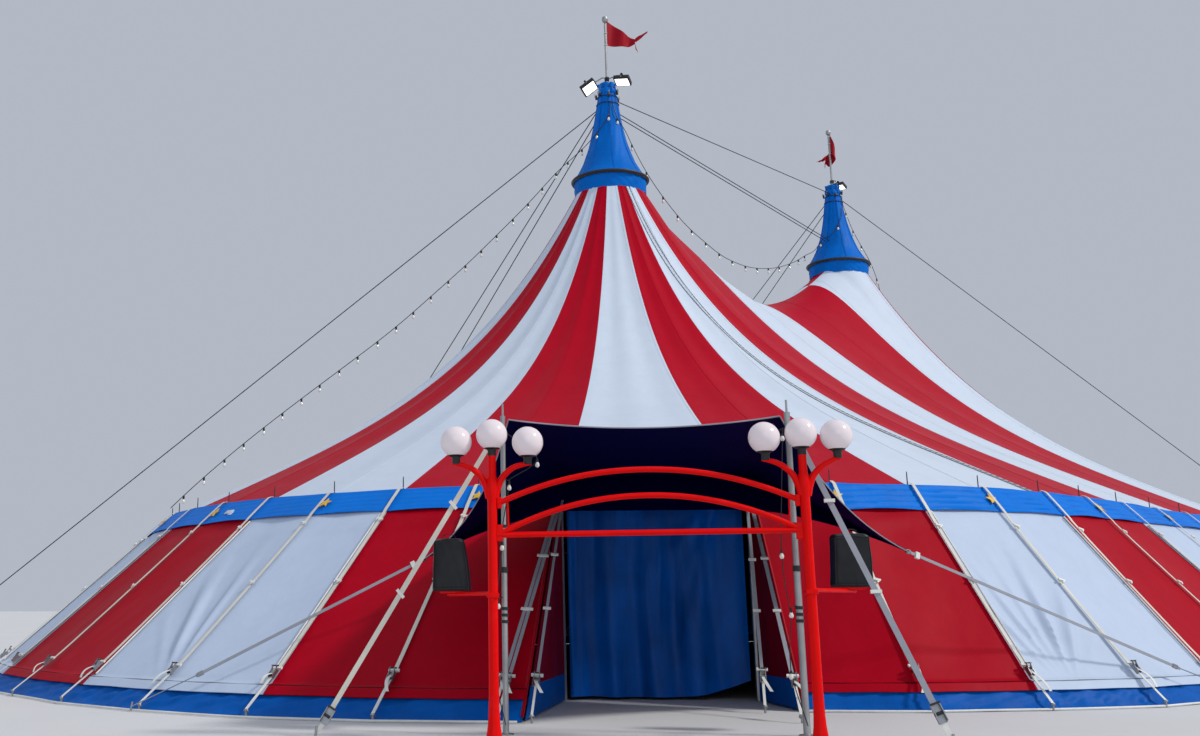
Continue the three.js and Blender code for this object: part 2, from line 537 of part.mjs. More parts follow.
// --------------------------------------------------------------- lamp portal
const GATE = 17.75;                                    // in front of the awning poles
const POST = { left: -2.5, right: 1.3 };
const sphere = (p, radius, w = 12, h = 8) => {
  const g = new THREE.SphereGeometry(radius * S, w, h);
  g.rotateX(Math.PI / 2);
  g.translate(p[0] * S, p[1] * S, p[2] * S);
  return fromGeometry(g);
};
for (const tag of ['left', 'right']) {
  const s0 = POST[tag];
  const p = (side, z) => at(GATE, s0 + side, z);
  const body = [
    lathe([[0, 0], [0.14, 0], [0.14, 0.015], [0.115, 0.1], [0.09, 0.28], [0.083, 0.6], [0.068, 2.9], [0.066, 3.45], [0.05, 3.46], [0.05, 3.52], [0, 3.52]], ...p(0, 0).slice(0, 2), 12),
    sphere(p(0, 3.65), 0.2)];
  for (const w of [-1, 1]) {
    body.push(bar([p(w * 0.04, 2.98), p(w * 0.16, 3.16), p(w * 0.32, 3.29), p(w * 0.47, 3.34)], 0.032, 6));
    body.push(bar([p(w * 0.47, 3.32), p(w * 0.47, 3.46)], 0.045, 8));
    body.push(sphere(p(w * 0.47, 3.56), 0.2));
  }
  addNode(`lamp_post_${tag}`, union(body), 'signal');
}
{
  const a = POST.left + 0.085, b = POST.right - 0.085, c = (a + b) / 2, h = (b - a) / 2;
  const arch = (z0, rise, r) => {
    const pts = [];
    for (let i = 0; i <= 12; i += 1) { const g = (i / 12) * 2 - 1; pts.push(at(GATE, c + h * g, z0 + rise * (1 - g * g))); }
    return bar(pts, r, 6);
  };
  addNode('lamp_arches', union([arch(2.43, 0.445, 0.025), arch(2.79, 0.405, 0.03), bar([at(GATE, a, 2.41), at(GATE, b, 2.43)], 0.025, 6),
    bar([at(GATE, a + 0.03, 2.4), at(GATE, a + 0.03, 2.84)], 0.022, 6), bar([at(GATE, b - 0.03, 2.42), at(GATE, b - 0.03, 2.84)], 0.022, 6)]), 'signal');
}

// ------------------------------------------------------------- light strings
// Free cords with lamps, from the mast heads to the eave and to each other.
const CORD_R = 0.01;
const CORDS = {
  light_string_west: [
    [-6.539, -0.269, 15.310], [-6.675, -0.254, 14.828], [-6.852, -0.046, 14.413], [-6.826, 0.371, 14.142],
    [-7.004, 0.682, 13.823], [-7.372, 0.748, 13.488], [-7.732, 0.803, 13.141], [-8.029, 0.953, 12.764],
    [-8.286, 1.157, 12.382], [-8.561, 1.351, 12.008], [-8.859, 1.524, 11.640], [-9.161, 1.694, 11.275],
    [-9.459, 1.872, 10.910], [-9.757, 2.056, 10.548], [-10.062, 2.243, 10.193], [-10.373, 2.430, 9.844],
    [-10.685, 2.618, 9.497], [-10.997, 2.806, 9.150], [-11.312, 2.996, 8.806], [-11.634, 3.191, 8.471],
    [-11.963, 3.389, 8.145], [-12.296, 3.591, 7.825], [-12.631, 3.793, 7.508], [-12.966, 3.996, 7.192],
    [-13.302, 4.198, 6.876], [-13.636, 4.400, 6.558], [-13.969, 4.601, 6.238], [-14.300, 4.801, 5.915],
    [-14.627, 4.999, 5.588], [-14.951, 5.195, 5.255], [-15.270, 5.387, 4.917], [-15.584, 5.577, 4.572],
    [-15.892, 5.763, 4.220], [-16.194, 5.945, 3.860],
  ],
  light_string_ridge: [
    [-6.500, -0.305, 15.213], [-6.464, -0.402, 14.807], [-6.208, -0.472, 14.464], [-5.976, -0.511, 14.099],
    [-5.865, -0.645, 13.700], [-5.791, -0.811, 13.303], [-5.585, -0.921, 12.941], [-5.215, -0.897, 12.717],
    [-4.812, -0.823, 12.566], [-4.408, -0.760, 12.412], [-4.000, -0.706, 12.267], [-3.583, -0.645, 12.152],
    [-3.160, -0.583, 12.062], [-2.735, -0.521, 11.985], [-2.309, -0.459, 11.912], [-1.882, -0.397, 11.845],
    [-1.452, -0.335, 11.799], [-1.020, -0.272, 11.782], [-0.588, -0.209, 11.787], [-0.156, -0.147, 11.805],
    [0.275, -0.084, 11.838], [0.704, -0.022, 11.891], [1.130, 0.040, 11.962], [1.555, 0.101, 12.046],
    [1.977, 0.162, 12.138], [2.397, 0.224, 12.241], [2.813, 0.288, 12.358], [3.225, 0.348, 12.488],
    [3.635, 0.398, 12.631], [4.042, 0.443, 12.784], [4.443, 0.507, 12.944], [4.838, 0.601, 13.104],
    [5.229, 0.710, 13.265], [5.623, 0.788, 13.436], [5.802, 0.553, 13.588], [5.663, 0.166, 13.870],
    [5.753, -0.144, 14.002], [5.941, -0.315, 14.355], [6.143, -0.381, 14.735], [6.262, -0.347, 15.050],
  ],
  light_string_east: [
    [6.300, -0.340, 15.300], [6.467, -0.414, 14.751], [6.599, -0.535, 14.201], [6.769, -0.704, 13.675],
    [7.030, -0.828, 13.174], [7.370, -0.841, 12.708], [7.744, -0.764, 12.273], [8.124, -0.652, 11.851],
    [8.503, -0.537, 11.429], [8.890, -0.423, 11.014], [9.288, -0.310, 10.610], [9.698, -0.197, 10.216],
    [10.114, -0.084, 9.830], [10.532, 0.032, 9.447], [10.953, 0.147, 9.067], [11.379, 0.262, 8.692],
    [11.810, 0.373, 8.322], [12.248, 0.481, 7.959], [12.689, 0.586, 7.600], [13.133, 0.691, 7.244],
    [13.580, 0.796, 6.890], [14.028, 0.898, 6.539], [14.479, 0.996, 6.190], [14.934, 1.089, 5.844],
    [15.391, 1.180, 5.501], [15.852, 1.271, 5.163], [16.316, 1.363, 4.829], [16.784, 1.457, 4.501],
    [17.255, 1.549, 4.178], [17.730, 1.640, 3.860],
  ],
};
for (const [name, pts] of Object.entries(CORDS)) addNode(name, bar(pts, CORD_R, 8), 'dark');

// ------------------------------------------------------------------- curtain
{
  const run = RUN - 0.26;
  const half = R * Math.sin(HALF_DOOR) - 0.12;
  const n = 16, o = [[], []], q = [[], []];
  for (let i = 0; i <= n; i += 1) {
    const g = (i / n) * 2 - 1;
    const w = i === 0 || i === n ? 0 : (i % 2 ? 0.05 : -0.05);
    o[0].push(at(run + w, g * half, Z_EAVE - 0.42)); o[1].push(at(run + w, g * half, 0.04));
    q[0].push(at(run + w - 0.03, g * half, Z_EAVE - 0.42)); q[1].push(at(run + w - 0.03, g * half, 0.04));
  }
  addNode('entrance_curtain', shell(o, q), 'curtain');
  // cheek walls: upright triangles that close the sides of the doorway
  for (const [tag, k, sgn] of [['left', -0.5, -1], ['right', 0.5, 1]]) {
    const st = station(W, angW(k));
    const shift = -sgn * (0.004 + 0.0);
    const P = (r, z, s) => { const p = out(st, r); return [p[0] - st.s * s, p[1] + st.c * s, z]; };
    const face = (s) => [[P(R + 0.02, Z_EAVE - 0.16, s), P(R - 0.0, 0, s)], [P(R + 0.04, Z_EAVE - 0.16, s), P(footR(k) - 0.12, 0, s)]];
    const s1 = -sgn * 0.006, s2 = -sgn * 0.026;
    addNode(`doorway_cheek_${tag}`, shell(face(s1), face(s2)), 'red');
  }
}

export default group;
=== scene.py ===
# Two-mast striped circus tent, 1:2 scale model: the finished look over the
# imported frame. Lengths in this script are the real tent's, in metres, in the
# tent's own frame; K turns them into metres of the half-scale model.
import math

import bmesh
import bpy
import numpy as np
from mathutils import Matrix, Vector


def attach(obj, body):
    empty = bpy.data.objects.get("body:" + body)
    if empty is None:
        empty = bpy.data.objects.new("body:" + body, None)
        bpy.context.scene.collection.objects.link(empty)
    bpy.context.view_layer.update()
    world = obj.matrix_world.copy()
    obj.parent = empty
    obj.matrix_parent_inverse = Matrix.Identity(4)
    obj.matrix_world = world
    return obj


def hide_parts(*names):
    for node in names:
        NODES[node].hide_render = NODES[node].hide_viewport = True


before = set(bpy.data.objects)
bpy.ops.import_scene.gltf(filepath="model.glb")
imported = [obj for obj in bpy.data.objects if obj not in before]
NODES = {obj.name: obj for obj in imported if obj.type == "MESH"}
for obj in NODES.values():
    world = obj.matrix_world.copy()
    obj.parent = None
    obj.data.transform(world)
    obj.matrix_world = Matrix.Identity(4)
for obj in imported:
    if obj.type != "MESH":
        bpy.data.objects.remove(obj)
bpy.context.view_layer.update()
K = 0.5
rng = np.random.default_rng(7)

# ------------------------------------------------------------------ layout
HALF, R, RB, ZE, ZC, RC, RIDGE = 6.35, 11.5, 15.3, 3.58, 12.62, 0.93, 2.15
STEP = 2 * math.pi / 22
SET = [(-8, 0), (-6, .8), (-4.5, 1.6), (-3, 1.5), (-2, 1.7), (-1.5, 1.35), (-1, .65), (-.5, -.2), (.5, -.2), (1, -1.0), (1.5, -1.4), (2, -1.3), (2.5, -.5), (3, 0)]
W, E = -HALF, HALF
Z_RIM, R_RIM, Z_CAP = 13.0, 1.03, 15.82


def set_off(k):
    return float(np.interp(k, [a for a, _ in SET], [b for _, b in SET]))


def ang_w(k):
    return -math.pi / 2 - (3 - k) * STEP + math.radians(set_off(k))


def ang_e(k):
    return -math.pi / 2 + k * STEP


ANG_DOOR = (ang_w(-.5) + ang_w(.5)) / 2
HALF_DOOR = (ang_w(.5) - ang_w(-.5)) / 2
# stations 0..56 go once round the eave, one side pole each; 15..17 is the doorway
ST = []
for i in range(57):
    if i <= 22:
        k = -8 + i / 2
        m, a = (math.cos(HALF_DOOR), ANG_DOOR) if i == 16 else (1.0, ang_w(k))
        ST.append((W, math.cos(a) * m, math.sin(a) * m))
    elif i < 28:
        ST.append((W + (i - 22) * 2 * HALF / 6, 0.0, -1.0))
    elif i <= 50:
        a = ang_e((i - 28) / 2)
        ST.append((E, math.cos(a), math.sin(a)))
    else:
        ST.append((E - (i - 50) * 2 * HALF / 6, 0.0, 1.0))
ST = np.array(ST)
# radius of the wall foot by stripe number: pitched further out to the left of
# the entrance and steeper to the right of it
FOOT = [(-8, RB), (-5, RB), (-4, 15.45), (-3, 15.5), (-2.5, 15.65), (-2, 15.8), (-1.5, 15.85), (-1, 15.9), (-.5, 15.6),
        (.5, 13.6), (1, 14.0), (1.5, 14.2), (2, 14.45), (2.5, 14.4), (3, 14.65), (3.5, 14.85), (4, 15.05), (4.5, 15.2), (5, RB), (99, RB)]
RBS = np.array([float(np.interp(i / 2 - 8, [a for a, _ in FOOT], [b for _, b in FOOT])) if i <= 28 else RB for i in range(57)])


def foot_r(s):
    return float(np.interp(s % 56, np.arange(57), RBS))


def slope(s):
    """Of the wall at s: its length, outward and down along it, outward normal."""
    rb = foot_r(s)
    l = math.hypot(rb - R, ZE)
    return l, ((rb - R) / l, -ZE / l), (ZE / l, (rb - R) / l)


def stn(s):
    s = s % 56
    i = int(math.floor(s + 1e-9))
    u = s - i
    return ST[i] * (1 - u) + ST[i + 1] * u


def is_straight(s):
    s = s % 56
    return 22 - 1e-9 <= s <= 28 + 1e-9 or s >= 50 - 1e-9 or s < 1e-9


def red_bay(s):
    n = int(math.floor((s % 56 + 1) / 2)) % 28
    return n % 2 == 1


def tangent(s):
    a, b = stn(s - .02), stn(s + .02)
    pa, pb = np.array([a[0] + R * a[1], R * a[2]]), np.array([b[0] + R * b[1], R * b[2]])
    d = pb - pa
    return np.append(d / np.linalg.norm(d), 0)


def fall(r):
    s = min(max((r - RC) / (R - RC), 0), 1)
    return .445 * (1 - s) ** 3.6 + .555 * (1 - s)


def zfall(r):
    return ZE + (ZC + .06 - ZE) * fall(r)


def canopy_z(x, y):
    d = HALF - abs(x)
    if d <= 0:
        r = math.hypot(d, y)
    else:
        rho = d if d < RC else RC + (RIDGE - RC) * math.sin(math.pi / 2 * (d - RC) / (HALF - RC))
        r = math.sqrt(y * y + rho * rho * (1 - min(1, (y / R) ** 2)))
    return zfall(r)


def canopy_pt(s, f, off=0.0, sag=True):
    """A point of the roof cloth: s along the eave, f from throat (0) to eave (1)."""
    cx, c, sn = stn(s)
    if is_straight(s):
        side = -1.0 if 21 < (s % 56) < 29 else 1.0
        d = HALF - abs(cx)
        y0 = math.sqrt(max(0.0, RC * RC - d * d))
        y = side * (y0 + (R - y0) * f)
        x = cx
        z = canopy_z(x, y)
    else:
        r = RC + (R - RC) * f
        x, y = cx + r * c, r * sn
        z = zfall(r)
    u = s - math.floor(s + 1e-9)
    # the normal from the fall line
    h = .02
    f1, f2 = max(f - h, 0), min(f + h, 1)
    if is_straight(s):
        gx = (canopy_z(x + .02, y) - canopy_z(x - .02, y)) / .04
        gy = (canopy_z(x, y + .02) - canopy_z(x, y - .02)) / .04
        n = np.array([-gx, -gy, 1.0])
    else:
        r1, r2 = RC + (R - RC) * f1, RC + (R - RC) * f2
        g = (zfall(r2) - zfall(r1)) / (r2 - r1)
        l = math.hypot(c, sn) or 1
        n = np.array([-g * c / l, -g * sn / l, 1.0])
    n /= np.linalg.norm(n)
    p = np.array([x, y, z])
    if sag:
        off -= .035 * math.sin(math.pi * min(f * 1.0, 1)) ** .8 * math.sin(math.pi * u) ** 2
    return p + n * off, n


def wall_pt(s, a, off=0.0, side=0.0):
    """A point of the wall: a metres down its slope from the eave, off metres out of it."""
    cx, c, sn = stn(s)
    _, d, n = slope(s)
    r = R + d[0] * a + n[0] * off
    z = ZE + d[1] * a + n[1] * off
    p = np.array([cx + r * c, r * sn, z])
    if side:
        p = p + tangent(s) * side
    return p


def wall_n(s):
    cx, c, sn = stn(s)
    l = math.hypot(c, sn)
    n = slope(s)[2]
    return np.array([n[0] * c / l, n[0] * sn / l, n[1]])


def wall_d(s):
    cx, c, sn = stn(s)
    l = math.hypot(c, sn)
    d = slope(s)[1]
    return np.array([d[0] * c / l, d[0] * sn / l, d[1]])


EV = np.array([math.cos(ANG_DOOR), math.sin(ANG_DOOR), 0])
TV = np.array([-EV[1], EV[0], 0])
UP = np.array([0, 0, 1.0])


def door(o, side, z):
    return np.array([W, 0, 0]) + EV * o + TV * side + UP * z


RUN = R * math.cos(HALF_DOOR)

# --------------------------------------------------------------- materials


def new_mat(name):
    m = bpy.data.materials.new(name)
    m.use_nodes = True
    nt = m.node_tree
    for n in list(nt.nodes):
        nt.nodes.remove(n)
    out = nt.nodes.new("ShaderNodeOutputMaterial")
    b = nt.nodes.new("ShaderNodeBsdfPrincipled")
    nt.links.new(b.outputs[0], out.inputs[0])
    return m, nt, b


def noise(nt, vec, scale, detail=3, rough=.55, dist=0.0):
    n = nt.nodes.new("ShaderNodeTexNoise")
    n.inputs["Scale"].default_value = scale
    n.inputs["Detail"].default_value = detail
    n.inputs["Roughness"].default_value = rough
    n.inputs["Distortion"].default_value = dist
    nt.links.new(vec, n.inputs["Vector"])
    return n.outputs["Fac"]


def ramp(nt, fac, stops):
    r = nt.nodes.new("ShaderNodeValToRGB")
    el = r.color_ramp.elements
    while len(el) > 2:
        el.remove(el[-1])
    for i, (p, c) in enumerate(stops):
        e = el[i] if i < 2 else el.new(p)
        e.position = p
        e.color = (*c, 1)
    nt.links.new(fac, r.inputs[0])
    return r.outputs[0]


def scaled(nt, vec, s):
    m = nt.nodes.new("ShaderNodeMapping")
    m.inputs["Scale"].default_value = s
    nt.links.new(vec, m.inputs["Vector"])
    return m.outputs[0]


def add_bump(nt, b, heights, dist=.01):
    """heights: list of (socket, strength)"""
    prev = None
    for h, st, d in heights:
        bu = nt.nodes.new("ShaderNodeBump")
        bu.inputs["Strength"].default_value = st
        bu.inputs["Distance"].default_value = d
        nt.links.new(h, bu.inputs["Height"])
        if prev:
            nt.links.new(prev, bu.inputs["Normal"])
        prev = bu.outputs[0]
    nt.links.new(prev, b.inputs["Normal"])


def map_range(nt, fac, lo, hi):
    m = nt.nodes.new("ShaderNodeMapRange")
    m.inputs["To Min"].default_value = lo
    m.inputs["To Max"].default_value = hi
    nt.links.new(fac, m.inputs["Value"])
    return m.outputs[0]


def lin(c):
    return tuple((x / 255 / 12.92) if x / 255 <= .04045 else ((x / 255 + .055) / 1.055) ** 2.4 for x in c)


def cloth_mat(name, rgb, dirt_and_shade=.12, rough=(.40, .56), weave=True, sheen=0.0, spec=.14, big=.9, rgb2=None, crease=.25):
    """Coated tent cloth: slight colour drift, grime streaks, creases and a fine weave; set strong, as on the curtain,
    the drift and streaks are painted shade and light.
    """
    m, nt, b = new_mat(name)
    tc = nt.nodes.new("ShaderNodeTexCoord").outputs["Object"]
    c = lin(rgb)
    c2 = lin(rgb2) if rgb2 else tuple(x * (1 - dirt_and_shade) for x in c)
    c3 = tuple(min(1, x * (1 + dirt_and_shade * .5)) for x in c)
    n1 = noise(nt, tc, big, 5, .6, .3)
    col = ramp(nt, n1, [(.25, c2), (.52, c), (.8, c3)])
    # grime that runs down the slope; on the curtain these streaks are painted shade between its folds
    streak = noise(nt, scaled(nt, tc, (3.2, 3.2, .35)), 2.2, 5, .65, .6)
    mix = nt.nodes.new("ShaderNodeMix")
    mix.data_type = "RGBA"
    mix.blend_type = "MULTIPLY"
    nt.links.new(ramp(nt, streak, [(.42, (1, 1, 1)), (.78, (1 - dirt_and_shade * 1.3,) * 3)]), mix.inputs[7])
    nt.links.new(col, mix.inputs[6])
    mix.inputs[0].default_value = .8
    nt.links.new(mix.outputs[2], b.inputs["Base Color"])
    nt.links.new(map_range(nt, noise(nt, tc, 3.1, 4), *rough), b.inputs["Roughness"])
    b.inputs["Specular IOR Level"].default_value = spec
    if sheen:
        b.inputs["Sheen Weight"].default_value = sheen
    hs = [(noise(nt, tc, 1.3, 4, .5, .4), crease, .05), (noise(nt, scaled(nt, tc, (1, 1, .3)), 9, 3, .5, 1.0), crease * .5, .012)]
    if weave:
        wx = nt.nodes.new("ShaderNodeTexWave")
        wx.inputs["Scale"].default_value = 160
        wx.bands_direction = "DIAGONAL"
        nt.links.new(tc, wx.inputs["Vector"])
        hs.append((wx.outputs["Fac"], .12, .0006))
        hs.append((noise(nt, tc, 420, 2), .15, .0006))
    add_bump(nt, b, hs)
    return m


def metal_mat(name, rgb, rough=(.3, .5), metallic=1.0, scale=30.0, bump=.08, dirt_and_shade=.25):
    m, nt, b = new_mat(name)
    tc = nt.nodes.new("ShaderNodeTexCoord").outputs["Object"]
    c = lin(rgb)
    col = ramp(nt, noise(nt, tc, scale * .3, 5, .65), [(.3, tuple(x * (1 - dirt_and_shade) for x in c)), (.6, c), (.85, tuple(min(1, x * 1.12) for x in c))])
    nt.links.new(col, b.inputs["Base Color"])
    b.inputs["Metallic"].default_value = metallic
    nt.links.new(map_range(nt, noise(nt, tc, scale, 4), *rough), b.inputs["Roughness"])
    add_bump(nt, b, [(noise(nt, tc, scale * 3, 3), bump, .002)])
    return m


def paint_mat(name, rgb, rough=(.22, .4), spec=.5, coat=.25, dirt_and_shade=.15, scale=8.0, bump=.05):
    m, nt, b = new_mat(name)
    tc = nt.nodes.new("ShaderNodeTexCoord").outputs["Object"]
    c = lin(rgb)
    col = ramp(nt, noise(nt, tc, scale, 5, .7), [(.25, tuple(x * (1 - dirt_and_shade) for x in c)), (.55, c), (.9, tuple(min(1, x * 1.08 + .01) for x in c))])
    nt.links.new(col, b.inputs["Base Color"])
    nt.links.new(map_range(nt, noise(nt, tc, scale * 2, 4), *rough), b.inputs["Roughness"])
    b.inputs["Specular IOR Level"].default_value = spec
    b.inputs["Coat Weight"].default_value = coat
    b.inputs["Coat Roughness"].default_value = .2
    add_bump(nt, b, [(noise(nt, tc, scale * 9, 3), bump, .002)])
    return m


def web_mat(name, rgb, dirt_and_shade=.2):
    """Flat polyester webbing with its ribbed weave."""
    m, nt, b = new_mat(name)
    tc = nt.nodes.new("ShaderNodeTexCoord").outputs["Object"]
    c = lin(rgb)
    col = ramp(nt, noise(nt, tc, 2.3, 6, .7), [(.25, tuple(x * (1 - dirt_and_shade) for x in c)), (.6, c), (.9, tuple(min(1, x * 1.05) for x in c))])
    nt.links.new(col, b.inputs["Base Color"])
    nt.links.new(map_range(nt, noise(nt, tc, 12, 3), .6, .85), b.inputs["Roughness"])
    w = nt.nodes.new("ShaderNodeTexWave")
    w.inputs["Scale"].default_value = 90
    nt.links.new(tc, w.inputs["Vector"])
    add_bump(nt, b, [(w.outputs["Fac"], .25, .001)])
    return m


def glow_mat(name, rgb, emit, rough=.3):
    m, nt, b = new_mat(name)
    tc = nt.nodes.new("ShaderNodeTexCoord").outputs["Object"]
    c = lin(rgb)
    nt.links.new(ramp(nt, noise(nt, tc, 6, 3), [(.2, tuple(x * .94 for x in c)), (.8, c)]), b.inputs["Base Color"])
    b.inputs["Roughness"].default_value = rough
    b.inputs["Emission Color"].default_value = (*c, 1)
    b.inputs["Emission Strength"].default_value = emit
    return m


M = {
    "red": cloth_mat("canopy_red", (172, 0, 30), .07, crease=.12, spec=.05),
    "white": cloth_mat("canopy_white", (200, 211, 226), .05, crease=.12, spec=.12),
    "wall_red": cloth_mat("wall_red", (166, 0, 27), .08, crease=.14, spec=.04),
    "wall_white": cloth_mat("wall_white", (184, 198, 220), .05, crease=.14, spec=.1),
    # painted shade: a darker copy of the wall red for the doorway cheeks, which stand in the awning's shadow
    "cheek_red_painted_shade": cloth_mat("cheek_red_painted_shade", (122, 0, 20), .2, big=1.6, crease=.2, spec=.03),
    # painted shadow: dark red and grey for the thin band at the hem fold
    "groove_shade_red": cloth_mat("hem_groove_shade_red", (82, 0, 12), .1, crease=.1, spec=.03),
    "groove_shade_grey": cloth_mat("hem_groove_shade_grey", (112, 118, 128), .1, crease=.1, spec=.05),
    "blue": cloth_mat("cap_blue", (0, 104, 198), .14, big=2.2, crease=.45, spec=.05),
    "valance": cloth_mat("valance_blue", (0, 114, 214), .10, big=2.0, crease=.3, spec=.06),
    "skirt": cloth_mat("skirt_blue", (0, 86, 172), .16, big=1.6, crease=.45, spec=.06),
    "navy": cloth_mat("awning_navy", (0, 0, 52), .12, rough=(.6, .75), spec=.03, crease=.1),
    # painted shade and light: the curtain's large, strong light and dark patches stand for the shading of its folds
    "curtain": cloth_mat("curtain_blue", (0, 90, 184), .42, rough=(.34, .46), big=1.25, sheen=0, crease=.3, spec=.12),
    "flag": cloth_mat("flag_red", (160, 4, 28), .12, big=4.0),
    "hem_red": cloth_mat("hem_red", (160, 4, 28), .15, big=3.0),
    "rope": web_mat("white_rope", (226, 226, 220)),
    "web": web_mat("webbing", (214, 210, 198)),
    "web_grey": web_mat("webbing_grey", (150, 154, 164)),
    "lace": paint_mat("lace_cord", (104, 108, 120), rough=(.6, .8), coat=0),
    "steel": metal_mat("galvanised_steel", (168, 170, 170), (.38, .6), scale=14),
    "cable": metal_mat("wire_rope", (70, 74, 82), (.4, .6), scale=60, bump=.3),
    "dark": paint_mat("dark_steel", (26, 27, 32), rough=(.4, .6), coat=0),
    "black": paint_mat("black_plastic", (14, 14, 16), rough=(.3, .5), coat=0),
    "ratchet": metal_mat("ratchet_steel", (156, 158, 162), (.35, .55), scale=40),
    "cover": cloth_mat("speaker_cover", (17, 18, 25), .2, rough=(.35, .55), big=5.0, crease=.7, spec=.3),
    "post": paint_mat("post_red", (226, 0, 0), rough=(.34, .46), spec=.1, coat=.02, dirt_and_shade=.06, scale=3.0, bump=.02),
    "globe": glow_mat("opal_globe", (228, 216, 220), .08, .16),
    "bulb": glow_mat("lamp_bulb", (222, 220, 214), .06, .14),
    "lens": glow_mat("flood_lens", (255, 252, 240), 2.2, .3),
    "gold": paint_mat("star_gold", (222, 172, 52), rough=(.4, .55), coat=0, scale=12),
    "patch": cloth_mat("patch_white", (196, 206, 220), .1),
    "brass": metal_mat("ball_gold", (214, 206, 180), (.2, .35), scale=20),
}

# ------------------------------------------------------------ mesh helpers


class Mesh:
    def __init__(self, name, *mats):
        self.name, self.mats = name, list(mats)
        self.v, self.f, self.m = [], [], []
        self.n = 0

    def add(self, verts, faces, mat=0):
        verts = np.asarray(verts, float).reshape(-1, 3)
        self.v.append(verts)
        for f in faces:
            self.f.append(tuple(int(i) + self.n for i in f))
            self.m.append(mat)
        self.n += len(verts)
        return self

    def grid(self, P, mat=0, closed=False, mats=None, flip=False):
        P = np.asarray(P, float)
        r, c = P.shape[:2]
        faces, ms = [], []
        for i in range(r - 1):
            for j in range(c if closed else c - 1):
                k = (j + 1) % c
                q = (i * c + j, i * c + k, (i + 1) * c + k, (i + 1) * c + j)
                faces.append(q[::-1] if flip else q)
                ms.append(mats[i][j] if mats is not None else mat)
        base = self.n
        self.v.append(P.reshape(-1, 3))
        for f, mm in zip(faces, ms):
            self.f.append(tuple(x + base for x in f))
            self.m.append(mm)
        self.n += r * c
        return self

    def tube(self, pts, rad, n=8, mat=0, closed=False, caps=True, up=None):
        P = np.asarray(pts, float)
        m = len(P)
        rad = np.broadcast_to(np.asarray(rad, float), (m,))
        if closed:
            T = np.roll(P, -1, 0) - np.roll(P, 1, 0)
        else:
            T = np.gradient(P, axis=0)
        T /= np.linalg.norm(T, axis=1)[:, None]
        u = np.array(up if up is not None else ([0, 0, 1.0] if abs(T[0][2]) < .9 else [1.0, 0, 0]))
        rings = []
        for i in range(m):
            u = u - T[i] * (u @ T[i])
            u /= np.linalg.norm(u)
            v = np.cross(T[i], u)
            w = np.linspace(0, 2 * math.pi, n, endpoint=False)[:, None]
            rings.append(P[i] + rad[i] * (np.cos(w) * u + np.sin(w) * v))
        base = self.n
        self.v.append(np.concatenate(rings))
        self.n += m * n
        for i in range(m if closed else m - 1):
            a, b = i * n, ((i + 1) % m) * n
            for j in range(n):
                k = (j + 1) % n
                self.f.append((base + a + j, base + a + k, base + b + k, base + b + j))
                self.m.append(mat)
        if caps and not closed:
            self.f.append(tuple(base + j for j in range(n))[::-1])
            self.f.append(tuple(base + (m - 1) * n + j for j in range(n)))
            self.m += [mat, mat]
        return self

    def ribbon(self, pts, sides, normals, width, thick, mat=0):
        """Flat strap: closed box section swept along pts."""
        P, S, N = (np.asarray(a, float) for a in (pts, sides, normals))
        m = len(P)
        width = np.broadcast_to(np.asarray(width, float), (m,))[:, None]
        a, b = S * width / 2, N * thick / 2
        V = np.stack([P - a + b, P + a + b, P + a - b, P - a - b], 1).reshape(-1, 3)
        base = self.n
        self.v.append(V)
        self.n += 4 * m
        for i in range(m - 1):
            for j in range(4):
                k = (j + 1) % 4
                self.f.append((base + 4 * i + j, base + 4 * (i + 1) + j, base + 4 * (i + 1) + k, base + 4 * i + k))
                self.m.append(mat)
        self.f.append((base, base + 1, base + 2, base + 3))
        self.f.append(tuple(base + 4 * (m - 1) + j for j in (3, 2, 1, 0)))
        self.m += [mat, mat]
        return self

    def box(self, c, ax, half, mat=0, bevel=0.0):
        c = np.asarray(c, float)
        X, Y, Z = (np.asarray(a, float) for a in ax)
        hx, hy, hz = half
        if bevel <= 0:
            V = [c + X * hx * i + Y * hy * j + Z * hz * k for k in (-1, 1) for j in (-1, 1) for i in (-1, 1)]
            F = [(0, 2, 3, 1), (4, 5, 7, 6), (0, 1, 5, 4), (2, 6, 7, 3), (0, 4, 6, 2), (1, 3, 7, 5)]
            return self.add(V, F, mat)
        # rounded plan, chamfered ends
        q = []
        for sx, sy, a0 in ((1, 1, 0), (-1, 1, 90), (-1, -1, 180), (1, -1, 270)):
            for d in (0, 30, 60, 90):
                t = math.radians(a0 + d)
                q.append((sx * (hx - bevel) + bevel * math.cos(t), sy * (hy - bevel) + bevel * math.sin(t)))
        q = np.array(q)
        rows = []
        for z, s in ((-hz, .0), (-hz + bevel * .5, 1), (hz - bevel * .5, 1), (hz, .0)):
            sc = 1 - (1 - s) * bevel * .5 / np.array([hx, hy])
            rows.append([c + X * p[0] * sc[0] + Y * p[1] * sc[1] + Z * z for p in q])
        rows = np.array(rows)
        self.grid(rows, mat, closed=True)
        n = len(q)
        base = self.n - 4 * n
        self.f.append(tuple(base + i for i in range(n))[::-1])
        self.f.append(tuple(base + 3 * n + i for i in range(n)))
        self.m += [mat, mat]
        return self

